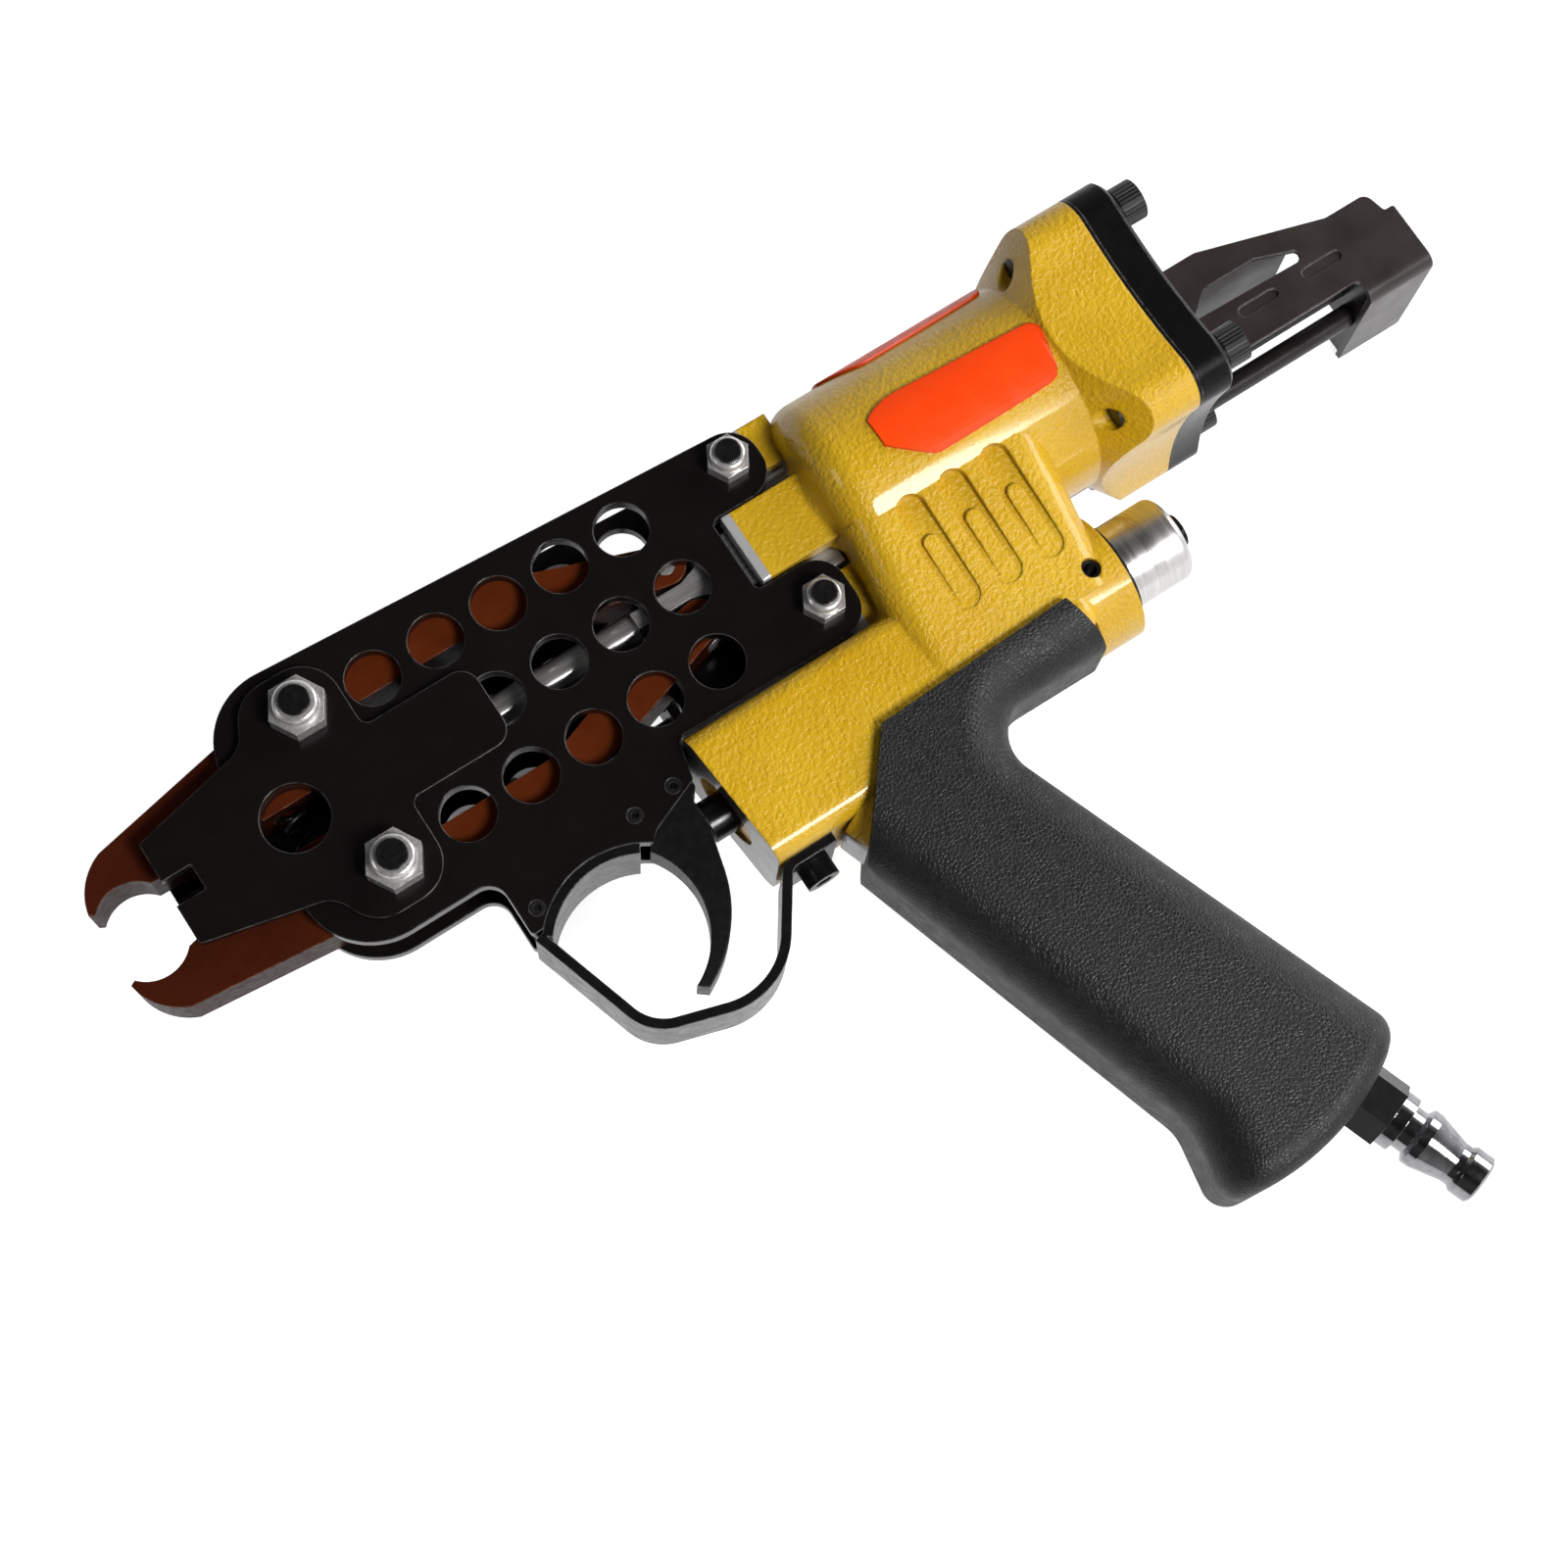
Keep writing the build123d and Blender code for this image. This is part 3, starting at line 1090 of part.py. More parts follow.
HEAD_SEAT = CAP_REAR + WASHER

with BuildPart() as end_cap_screws:
    grow(station(CAP_SCREW_FRONT), lambda: discs(CAP_SCREWS, CAP_SCREW_D), HEAD_SEAT - CAP_SCREW_FRONT)
    grow(station(HEAD_SEAT), lambda: discs(CAP_SCREWS, CAP_HEAD_D), CAP_HEAD)
    grow(station(HEAD_SEAT + CAP_HEAD), sockets, -CAP_HEAD / 2, Mode.SUBTRACT)
end_cap_screws.part.label = "end_cap_screws"
export_step(end_cap_screws.part, "parts/end_cap_screws.step")

# Valve: bush, stem with its poppet, spring, seat, and the exhaust fitting at the rear.
with BuildPart() as valve_bush:
    grow(station(VALVE_BUSH_FRONT, VALVE_Y), lambda: ring(VALVE_BORE_D, STEM_HEAD_D + 2 * PIN_FIT),
         VALVE_BUSH_REAR - VALVE_BUSH_FRONT)
valve_bush.part.label = "valve_bush"
export_step(valve_bush.part, "parts/valve_bush.step")

with BuildPart() as valve_stem:
    grow(station(STEM_HEAD_FRONT, VALVE_Y), lambda: Circle(STEM_HEAD_D / 2), STEM_HEAD)
    grow(station(STEM_HEAD_FRONT + STEM_HEAD, VALVE_Y), lambda: Circle(STEM_ROD_D / 2),
         STEM_REACH - STEM_HEAD_FRONT - STEM_HEAD)
    grow(station(POPPET_X, VALVE_Y), lambda: Circle(POPPET_D / 2), POPPET)
valve_stem.part.label = "valve_stem"
export_step(valve_stem.part, "parts/valve_stem.step")

with BuildPart() as valve_spring:
    grow(station(POPPET_X + POPPET, VALVE_Y), lambda: ring(VALVE_SPRING_D, SEAT_BORE_D),
         VALVE_SEAT_FRONT - POPPET_X - POPPET)
valve_spring.part.label = "valve_spring"
export_step(valve_spring.part, "parts/valve_spring.step")

with BuildPart() as valve_seat:
    grow(station(VALVE_SEAT_FRONT, VALVE_Y), lambda: ring(VALVE_BORE_D, SEAT_BORE_D), VALVE_SEAT)
valve_seat.part.label = "valve_seat"
export_step(valve_seat.part, "parts/valve_seat.step")

with BuildPart() as exhaust_collar:
    grow(station(VALVE_BOSS_REAR, VALVE_Y), lambda: ring(EXHAUST_COLLAR_D, VALVE_BORE_D), EXHAUST_COLLAR)
exhaust_collar.part.label = "exhaust_collar"
export_step(exhaust_collar.part, "parts/exhaust_collar.step")

EXHAUST_FRONT = VALVE_BOSS_REAR + EXHAUST_COLLAR
SPIGOT_FRONT = EXHAUST_FRONT - EXHAUST_TAIL
SPIGOT_Y = VALVE_Y + VALVE_BORE_D / 2
EXHAUST_Y = VALVE_Y + EXHAUST_D / 2

with BuildPart() as exhaust_cap:
    with BuildSketch(level(0)):
        with BuildLine():
            FilletPolyline((SPIGOT_FRONT, VALVE_Y), (SPIGOT_FRONT, SPIGOT_Y), (EXHAUST_FRONT, SPIGOT_Y),
                           (EXHAUST_FRONT, EXHAUST_Y), (EXHAUST_REAR, EXHAUST_Y), (EXHAUST_REAR, VALVE_Y),
                           radius=[0, 0, 0, 0, EXHAUST_EDGE, 0], close=True)
        make_face()
    revolve(axis=along_axis(VALVE_Y))
    slab(lambda: discs([(CROSS_PIN_X, VALVE_Y)], CROSS_PIN_D + 2 * FIT), -EXHAUST_D, EXHAUST_D, Mode.SUBTRACT)
    grow(station(EXHAUST_REAR, VALVE_Y), lambda: Circle(EXHAUST_PLUG_D / 2), -EXHAUST_PLUG, Mode.SUBTRACT)
exhaust_cap.part.label = "exhaust_cap"
export_step(exhaust_cap.part, "parts/exhaust_cap.step")

with BuildPart() as exhaust_knob:
    grow(station(EXHAUST_REAR - EXHAUST_PLUG, VALVE_Y), lambda: Circle(EXHAUST_PLUG_D / 2 - FIT),
         EXHAUST_PLUG)
    grow(station(EXHAUST_REAR, VALVE_Y), lambda: Circle(EXHAUST_KNOB_D / 2), EXHAUST_KNOB)
exhaust_knob.part.label = "exhaust_knob"
export_step(exhaust_knob.part, "parts/exhaust_knob.step")

with BuildPart() as exhaust_pin:
    with BuildSketch(level(-CROSS_PIN / 2)):
        with Locations((CROSS_PIN_X, VALVE_Y)):
            ring(CROSS_PIN_D, CROSS_PIN_BORE)
    extrude(amount=CROSS_PIN)
exhaust_pin.part.label = "exhaust_pin"
export_step(exhaust_pin.part, "parts/exhaust_pin.step")

# Trigger and the strip that guards it.
STEM_FACE = STEM_HEAD_FRONT - TRIGGER_GAP


def trigger_outline():
    """Curved finger blade with a broad root round its pin."""
    root_x = STOP_PIN_X + TRIGGER_PIN_D / 2 + TRIGGER_GAP
    lip = (LIP_X, LIP_Y)
    tip_front = (TIP_FRONT_X, TIP_FRONT_Y)
    tip_back = (TIP_BACK_X, TIP_BACK_Y)
    shoulder = (SHOULDER_X, SHOULDER_Y)
    with BuildLine() as rim:
        FilletPolyline(lip, (root_x, TRIGGER_CHIN), (root_x, TRIGGER_BROW),
                       (TRIGGER_X, TRIGGER_Y + TRIGGER_HUB),
                       (TRIGGER_X + TRIGGER_HUB, TRIGGER_Y + TRIGGER_HUB),
                       (TRIGGER_X + TRIGGER_HUB, TRIGGER_NECK), (STEM_FACE, STEM_PAD_TOP),
                       (STEM_FACE, STEM_PAD_LOW), shoulder, radius=TRIGGER_ROUND)
        ThreePointArc(shoulder, (BLADE_BACK_X, BLADE_BACK_Y), tip_back)
        Line(tip_back, tip_front)
        ThreePointArc(tip_front, (BLADE_FRONT_X, BLADE_FRONT_Y), lip)
    make_face(rim.line)
    drill([(TRIGGER_X, TRIGGER_Y)], TRIGGER_PIN_D + 2 * PIN_FIT)


with BuildPart() as trigger:
    slab(trigger_outline, -TRIGGER_Z / 2, TRIGGER_Z / 2)
trigger.part.label = "trigger"
export_step(trigger.part, "parts/trigger.step")

STRIP_Y = BLOCK_BOTTOM - GUARD / 2
LINING_R = FINGER_R - GUARD / 2


def guard_strip():
    """Strip round the finger space, with a lining under the plates' finger arc."""
    with BuildLine() as loop:
        FilletPolyline((GUARD_TOP_X, GUARD_TOP_Y), (GUARD_FRONT_X, GUARD_FRONT_Y), (GUARD_LOW_X, GUARD_LOW_Y),
                       (GUARD_HEEL_X, STRIP_Y), (GUARD_FOOT_REAR, STRIP_Y),
                       radius=[GUARD_FRONT_R, GUARD_LOW_R, GUARD_HEEL_R])
    with BuildLine() as lining:
        CenterArc((FINGER_X, FINGER_Y), LINING_R, LINING_FROM, LINING_SPAN)
    trace(loop.line, GUARD)
    trace(lining.line, GUARD)


def guard_lug():
    """Lug between the plates, round the front pin."""
    closed([
        (GUARD_PIN_X - LUG_MARGIN, GUARD_PIN_Y + LUG_MARGIN, LUG_CORNER),
        (GUARD_PIN_X + LUG_MARGIN, GUARD_PIN_Y + LUG_MARGIN, LUG_CORNER),
        (GUARD_PIN_X + LUG_MARGIN, GUARD_PIN_Y - LUG_MARGIN, 0),
        (GUARD_TOP_X + GUARD / 2, GUARD_TOP_Y - GUARD / 2, 0),
        (GUARD_TOP_X, GUARD_TOP_Y, 0),
    ])
    with Locations((FINGER_X, FINGER_Y)):
        Circle(LINING_R, mode=Mode.SUBTRACT)
    drill([(GUARD_PIN_X, GUARD_PIN_Y)], TRIGGER_PIN_D)


with BuildPart() as trigger_guard:
    slab(guard_strip, -PLATE_OUT, PLATE_OUT)
    slab(guard_lug, -PLATE_IN + FIT, PLATE_IN - FIT)
    grow(below(GUARD_SCREW_X, BLOCK_BOTTOM), lambda: Circle(GUARD_SCREW_D / 2 + FIT), 2 * GUARD,
         Mode.SUBTRACT)
trigger_guard.part.label = "trigger_guard"
export_step(trigger_guard.part, "parts/trigger_guard.step")

with BuildPart() as guard_screw:
    grow(below(GUARD_SCREW_X, BLOCK_BOTTOM + GUARD_SCREW), lambda: Circle(GUARD_SCREW_D / 2),
         GUARD_SCREW + GUARD)
    grow(below(GUARD_SCREW_X, BLOCK_BOTTOM - GUARD), lambda: Circle(GUARD_HEAD_D / 2), GUARD_HEAD)
    grow(below(GUARD_SCREW_X, BLOCK_BOTTOM - GUARD - GUARD_HEAD),
         lambda: RegularPolygon(GUARD_SOCKET / 2, 6, major_radius=False), -GUARD_HEAD / 2, Mode.SUBTRACT)
guard_screw.part.label = "guard_screw"
export_step(guard_screw.part, "parts/guard_screw.step")


# Rubber grip sleeve over the handle core: rounded front and back, flared lip, bulged foot.
FRONT_TOP = (GRIP_FRONT_TOP_X, GRIP_FRONT_TOP_Y)
TOP_FRONT = (GRIP_TOP_FRONT_X, GRIP_TOP_FRONT_Y)
TOP_REAR = (GRIP_TOP_REAR_X, GRIP_TOP_REAR_Y)
TANG = (GRIP_TANG_X, GRIP_TANG_Y)
HEEL = (GRIP_HEEL_X, GRIP_HEEL_Y)
TOE = (GRIP_TOE_X, GRIP_TOE_Y)

with BuildPart() as grip_sleeve:
    with BuildSketch(level(-GRIP_Z / 2)):
        with BuildLine():
            Polyline(FRONT_TOP, TOP_FRONT, TOP_REAR, TANG)
            FilletPolyline(TANG, (GRIP_WEB_X, GRIP_WEB_Y), HEEL, radius=GRIP_WEB_R)
            ThreePointArc(HEEL, (GRIP_FOOT_X, GRIP_FOOT_Y), TOE)
            FilletPolyline(TOE, (GRIP_LIP_X, GRIP_LIP_Y), FRONT_TOP, radius=GRIP_LIP_R)
        make_face()
    extrude(amount=GRIP_Z)
    flanks = [e for e in grip_sleeve.edges() if abs(abs(e.center().Z - MID_Z) - GRIP_Z / 2) < 0.01]
    tops = [tool(*FRONT_TOP), tool(*TOP_FRONT), tool(*TOP_REAR), tool(*TANG)]
    spans = [((a[0] + b[0]) / 2, (a[1] + b[1]) / 2) for a, b in zip(tops, tops[1:])]
    foot_span = max(e.length for e in flanks if e.geom_type == GeomType.CIRCLE)
    fillet([e for e in flanks if e.length < foot_span - 0.01 or e.geom_type == GeomType.LINE
            if not any(abs(e.center().X - x) + abs(e.center().Y - y) < 0.02 for x, y in spans)], GRIP_EDGE)
    low_faces = [f for f in grip_sleeve.faces() if f.center().Y < AXIS_Y + GRIP_HEEL_Y - GRIP_FOOT_EDGE / 2]
    foot = max(low_faces, key=lambda f: f.area)
    fillet(foot.edges(), GRIP_FOOT_EDGE)
    add(casting.part, mode=Mode.SUBTRACT)
    grow(plug_plane(CORE_LENGTH), lambda: Circle(INLET_OPENING_D / 2),
         SLEEVE_FLOOR + INLET_HEX_LENGTH, Mode.SUBTRACT)
    grow(plug_plane(INLET_START), lambda: Circle(INLET_WASHER_D / 2 + FIT), INLET_HEX_LENGTH, Mode.SUBTRACT)
grip_sleeve.part.label = "grip_sleeve"
export_step(grip_sleeve.part, "parts/grip_sleeve.step")

# Air inlet: washer and plug nipple with its hexagon.
HEX_START = INLET_START + INLET_WASHER
NIPPLE_START = HEX_START + INLET_HEX_LENGTH
RIM_START = NIPPLE_COLLAR + NIPPLE_NECK
TIP_START = NIPPLE - NIPPLE_TIP

with BuildPart() as inlet_washer:
    grow(plug_plane(INLET_START), lambda: ring(INLET_WASHER_D, INLET_SPIGOT_D + 2 * FIT), INLET_WASHER)
inlet_washer.part.label = "inlet_washer"
export_step(inlet_washer.part, "parts/inlet_washer.step")

plug_side = Plane(plug_plane(NIPPLE_START).origin, x_dir=(grip_dir[0], grip_dir[1], 0), z_dir=(0, 0, 1))

with BuildPart() as air_plug:
    grow(plug_plane(HEX_START), lambda: RegularPolygon(INLET_HEX / 2, 6, major_radius=False),
         INLET_HEX_LENGTH)
    with BuildSketch(plug_side):
        with BuildLine():
            Polyline((-INLET_HEX_LENGTH, 0), (-INLET_HEX_LENGTH, NIPPLE_COLLAR_D / 2),
                     (NIPPLE_COLLAR, NIPPLE_COLLAR_D / 2), (NIPPLE_COLLAR, NIPPLE_NECK_D / 2),
                     (RIM_START, NIPPLE_NECK_D / 2), (RIM_START + NIPPLE_SLOPE, NIPPLE_D / 2),
                     (RIM_START + NIPPLE_SLOPE + NIPPLE_RIM, NIPPLE_D / 2),
                     (TIP_START - NIPPLE_SLOPE - NIPPLE_WAIST, NIPPLE_WAIST_D / 2),
                     (TIP_START - NIPPLE_SLOPE, NIPPLE_WAIST_D / 2), (TIP_START, NIPPLE_TIP_D / 2),
                     (NIPPLE - NIPPLE_EDGE, NIPPLE_TIP_D / 2), (NIPPLE, NIPPLE_TIP_D / 2 - NIPPLE_EDGE),
                     (NIPPLE, 0), close=True)
        make_face()
    revolve(axis=Axis(plug_side.origin, plug_side.x_dir))
    grow(plug_plane(HEX_START), lambda: Circle(INLET_SPIGOT_D / 2), -(INLET_SPIGOT + INLET_WASHER))
    grow(plug_plane(HEX_START - INLET_SPIGOT - INLET_WASHER), lambda: Circle(PLUG_BORE_D / 2),
         INLET_SPIGOT + INLET_WASHER + INLET_HEX_LENGTH + NIPPLE, Mode.SUBTRACT)
air_plug.part.label = "air_plug"
export_step(air_plug.part, "parts/air_plug.step")


# Ring magazine under the tool's right side.
def magazine_web():
    """Flat strip under the barrel that widens to the tail fin and the hood."""
    closed([
        (MAG_FRONT, MAG_HALF, MAG_CORNER),
        (TAIL_FLARE, MAG_HALF, TAIL_FIN_R),
        (TAIL_FRONT, TAIL_FIN, TAIL_FIN_R),
        (TAIL_FIN_REAR, TAIL_FIN, MAG_CORNER),
        (TAIL_BACK_X, TAIL_BACK, MAG_CORNER),
        (TAIL_LUMP_X, TAIL_BACK, TAIL_LUMP_R),
        (TAIL_STEP_X, TAIL_STEP, SHEET / 2),
        (TAIL_REAR, TAIL_STEP, SHEET / 2),
        (TAIL_REAR, TAIL_FLAP_Y, 0),
        (TAIL_FLAP_FRONT, TAIL_FLAP_Y, 0),
        (TAIL_FLAP_FRONT, -MAG_HALF, SHEET),
        (MAG_FRONT, -MAG_HALF, MAG_CORNER),
    ])
    drill(FRAME_SCREWS, FRAME_SCREW_D + 2 * FIT)


def window():
    """Five-sided opening under the fin."""
    closed([
        (WINDOW_FRONT, WINDOW_LOW, WINDOW_R / 2),
        (WINDOW_RISE_X, WINDOW_TOP, WINDOW_R),
        (WINDOW_FALL_X, WINDOW_TOP, WINDOW_R),
        (WINDOW_REAR, WINDOW_END, WINDOW_R),
        (WINDOW_SILL_X, WINDOW_SILL, WINDOW_R),
    ])


def dimples():
    """Two pressed ovals in the web."""
    with Locations((DIMPLE_X, DIMPLE_Y), (DIMPLE_X + DIMPLE_PITCH, DIMPLE_Y)):
        SlotOverall(DIMPLE_LENGTH, DIMPLE_WIDTH)


with BuildPart() as magazine_frame:
    slab(magazine_web, -MAG_TOP - SHEET, -MAG_TOP)
    slab(lambda: box(TAIL_FLAP_FRONT, TAIL_REAR, TAIL_FLAP_Y, TAIL_FLAP_Y + SHEET), -MAG_DEPTH, -MAG_TOP)
    bend = [e for e in magazine_frame.edges().filter_by(Axis.X) if e.center().X > PIVOT_X + TAIL_FLAP_FRONT]
    for y, z, radius in ((TAIL_FLAP_Y, -MAG_TOP, TAIL_BEND_R),
                         (TAIL_FLAP_Y + SHEET, -MAG_TOP - SHEET, TAIL_BEND_R - SHEET)):
        corner = min(bend, key=lambda e: abs(e.center().Y - AXIS_Y - y) + abs(e.center().Z - MID_Z - z))
        fillet(corner, radius)
    slab(window, -MAG_TOP - SHEET, -MAG_TOP, Mode.SUBTRACT)
    slab(dimples, -MAG_TOP - DIMPLE, -MAG_TOP, Mode.SUBTRACT)
    slab(lambda: box(CHANNEL_FRONT, CHANNEL_REAR, WINDOW_TOP, WINDOW_TOP + SHEET), CHANNEL_LOW,
         -MAG_TOP - SHEET)
magazine_frame.part.label = "magazine_frame"
export_step(magazine_frame.part, "parts/magazine_frame.step")

with BuildPart() as frame_screws:
    slab(lambda: discs(FRAME_SCREWS, FRAME_SCREW_D), -MAG_TOP - SHEET, -BORE_R - 1.2)
    slab(lambda: discs(FRAME_SCREWS, FRAME_HEAD_D), -MAG_TOP - SHEET - FRAME_HEAD, -MAG_TOP - SHEET)
frame_screws.part.label = "frame_screws"
export_step(frame_screws.part, "parts/frame_screws.step")

RAIL_BEND = RAIL_TIP_Z - RAIL_Z
ROD_START = BRACKET_REAR - BRACKET


def rail_line():
    """Side view of the rail: straight run and the bend up to the nose notch."""
    with BuildLine() as run:
        Polyline((RAIL_END, RAIL_Z), (RAIL_NOSE_X + RAIL_BEND, RAIL_Z))
        RadiusArc((RAIL_NOSE_X + RAIL_BEND, RAIL_Z), (RAIL_NOSE_X, RAIL_TIP_Z), RAIL_BEND)
    trace(run.line, RAIL_H)


with BuildPart() as magazine_rail:
    grow(below(0, RAIL_W / 2), rail_line, RAIL_W)
magazine_rail.part.label = "magazine_rail"
export_step(magazine_rail.part, "parts/magazine_rail.step")

with BuildPart() as guide_rod:
    grow(station(ROD_START, GUIDE_Y, RAIL_Z), lambda: Circle(GUIDE_D / 2), RAIL_END - ROD_START)
guide_rod.part.label = "guide_rod"
export_step(guide_rod.part, "parts/guide_rod.step")

with BuildPart() as thin_rod:
    grow(station(ROD_START, THIN_Y, THIN_Z), lambda: Circle(THIN_D / 2), RAIL_END - ROD_START)
thin_rod.part.label = "thin_rod"
export_step(thin_rod.part, "parts/thin_rod.step")


def rail_holes(gap):
    """Openings for the rail and the two rods, with a gap all round."""
    with Locations((0, RAIL_Z)):
        Rectangle(RAIL_W + 2 * gap, RAIL_H + 2 * gap, mode=Mode.SUBTRACT)
    drill([(GUIDE_Y, RAIL_Z)], GUIDE_D + 2 * gap)
    drill([(THIN_Y, THIN_Z)], THIN_D + 2 * gap)


def end_block():
    """Plate that holds the ends of the rail and rods, with a leg down the flap."""
    inside = TAIL_FLAP_Y + SHEET
    low = RAIL_Z - RAIL_H / 2 - RAIL_MARGIN
    closed([
        (inside, -MAG_TOP - SHEET, TAIL_BEND_R),
        (END_BLOCK_TOP, -MAG_TOP - SHEET, 0),
        (END_BLOCK_TOP, low, 0),
        (END_LEG_Y, low, 0),
        (END_LEG_Y, END_LEG_LOW, 0),
        (inside, END_LEG_LOW, 0),
    ])
    rail_holes(FIT)


with BuildPart() as rail_end_block:
    grow(station(RAIL_END - END_BLOCK), end_block, END_BLOCK)
rail_end_block.part.label = "rail_end_block"
export_step(rail_end_block.part, "parts/rail_end_block.step")

BRACKET_LOW = RAIL_Z - RAIL_H / 2 - RAIL_MARGIN
BRACKET_OUT = -NOSE_OUT - BRACKET
COIL_Y = RAIL_W / 2 + PUSHER_COIL_R + COIL_GAP


def bracket_web():
    """Front bracket: web that carries the rail, the rods and the spring's front end."""
    box(GUIDE_Y - GUIDE_D / 2 - RAIL_MARGIN, COIL_Y + PUSHER_COIL_R + PUSHER_WIRE, BRACKET_LOW, -NOSE_OUT)
    rail_holes(FIT)


with BuildPart() as feed_bracket:
    slab(lambda: box(BRACKET_FRONT, BRACKET_REAR, -BRACKET_HALF, BRACKET_HALF), BRACKET_OUT, -NOSE_OUT)
    grow(station(BRACKET_REAR - BRACKET), bracket_web, BRACKET)
    slab(lambda: discs(BRACKET_SCREWS, BRACKET_SCREW_D + 2 * FIT), BRACKET_OUT, -NOSE_OUT, Mode.SUBTRACT)
feed_bracket.part.label = "feed_bracket"
export_step(feed_bracket.part, "parts/feed_bracket.step")


def pusher_body():
    """Slider on the rail and both rods."""
    box(GUIDE_Y - GUIDE_D / 2 - PUSHER_WALL, RAIL_W / 2 + PUSHER_WALL,
        RAIL_Z - RAIL_H / 2 - PUSHER_WALL, THIN_Z + THIN_D / 2 + PUSHER_WALL)
    rail_holes(PUSHER_FIT)


def pusher_lug():
    """Lug beside the rail for the spring's rear end."""
    reach = PUSHER_COIL_R + PUSHER_WIRE
    box(RAIL_W / 2 + PUSHER_WALL / 2, COIL_Y + reach, RAIL_Z - reach, RAIL_Z + reach)


with BuildPart() as ring_pusher:
    grow(station(PUSHER_X), pusher_body, PUSHER_LENGTH)
    grow(station(PUSHER_X), pusher_lug, BRACKET)
ring_pusher.part.label = "ring_pusher"
export_step(ring_pusher.part, "parts/ring_pusher.step")

with BuildPart() as pusher_spring:
    pusher_spring_gap = coil(tool(BRACKET_REAR, COIL_Y, RAIL_Z), (1, 0, 0), (0, 1, 0),
                             PUSHER_X - BRACKET_REAR, PUSHER_COIL_R, PUSHER_WIRE, PUSHER_TURNS)
pusher_spring.part.label = "pusher_spring"
export_step(pusher_spring.part, "parts/pusher_spring.step")
print("pusher spring gap", round(pusher_spring_gap, 2))

with BuildPart() as bracket_screws:
    slab(lambda: discs(BRACKET_SCREWS, BRACKET_SCREW_D), BRACKET_OUT, -PLATE_IN)
    slab(lambda: discs(BRACKET_SCREWS, BRACKET_HEAD_D), BRACKET_OUT - BRACKET_HEAD, BRACKET_OUT)
bracket_screws.part.label = "bracket_screws"
export_step(bracket_screws.part, "parts/bracket_screws.step")
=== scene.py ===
import math

import bmesh
import bpy
from mathutils import Euler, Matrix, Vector


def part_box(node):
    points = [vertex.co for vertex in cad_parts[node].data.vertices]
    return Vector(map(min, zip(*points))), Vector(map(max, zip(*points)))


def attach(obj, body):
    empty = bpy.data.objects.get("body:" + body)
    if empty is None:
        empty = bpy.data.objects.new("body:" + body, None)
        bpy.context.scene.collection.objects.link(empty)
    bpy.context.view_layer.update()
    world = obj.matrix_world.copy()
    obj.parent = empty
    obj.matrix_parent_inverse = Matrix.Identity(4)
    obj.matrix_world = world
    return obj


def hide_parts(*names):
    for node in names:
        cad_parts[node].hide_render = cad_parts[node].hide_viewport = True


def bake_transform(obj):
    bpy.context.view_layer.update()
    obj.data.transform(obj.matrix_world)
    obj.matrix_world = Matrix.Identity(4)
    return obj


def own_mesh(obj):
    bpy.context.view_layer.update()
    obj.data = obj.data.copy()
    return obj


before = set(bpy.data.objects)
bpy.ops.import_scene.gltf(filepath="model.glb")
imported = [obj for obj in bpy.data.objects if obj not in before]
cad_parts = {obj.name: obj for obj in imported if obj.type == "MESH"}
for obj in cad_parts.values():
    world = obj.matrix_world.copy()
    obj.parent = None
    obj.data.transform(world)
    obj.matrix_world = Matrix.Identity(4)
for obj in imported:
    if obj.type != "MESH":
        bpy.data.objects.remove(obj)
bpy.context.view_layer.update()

MM = 0.001
X_AXIS, Y_AXIS, Z_AXIS = range(3)

# Tool coordinates, in millimetres: x back from the jaw pivots, y towards the tool's top,
# z from the middle plane towards the left side, which lies uppermost.
ORIGIN = Vector((-102.25, 74.98, 58.0))
BARREL_R = 22.5
NOSE_TOP = 11.0          # outer face of the left nose plate
SCREW_Y = 17.8           # cap screws, from the axis in y and z
HOOK_X = -24.0           # jaws have the hooks' darker tone, painted shade, in front of this
ARM_X = -6.0             # and the arms' lighter tone, painted light, behind this
CASTING_FRONTS = 90.0    # machined fronts of the casting lie before this
BRIDGE_FRONT = 88.6      # front of the raised bridge between the plates' ears
BRIDGE_STRIP = 1.9       # milled strip along that front
TANG_REAR = 102.0        # rear end of the bare tang between the plates
TANG_LOW = -26.0         # lower edge of the tang and the bridge
TANG_HALF = 6.05         # half the tang's thickness and a little more
GRIP_TILT = math.radians(20.0)
GRIP_DOWN = Vector((math.sin(GRIP_TILT), -math.cos(GRIP_TILT), 0.0))
HANDLE_TOP = Vector((88.9, -52.0, 0.0))
HEX_END = 114.6          # end of the air plug's hexagon, down the grip from the handle's top
THREAD_PITCH = 1.0
KNURLS = 32.0            # round each cap screw

# Limits in the patterns
CLOUD_LOW, CLOUD_HIGH = 0.3, 0.7         # most of a cloudy pattern's values lie between these
CLOUD_ROUGHNESS = 0.55
EDGE_STARTS, EDGE_FULL = 0.98, 0.72      # cosines of the bend where an edge starts to show and is full
SQUARE_ON = 0.9                          # cosine above which a face looks along a direction
BEVEL_SAMPLES = 4


def at(x, y, z):
    """A point in tool coordinates, in the frame's metres."""
    return (ORIGIN + Vector((x, y, z))) * MM


def srgb(r, g, b):
    """Linear colour of an 8-bit display colour."""
    def line(v):
        v /= 255.0
        return v / 12.92 if v <= 0.04045 else ((v + 0.055) / 1.055) ** 2.4
    return (line(r), line(g), line(b))


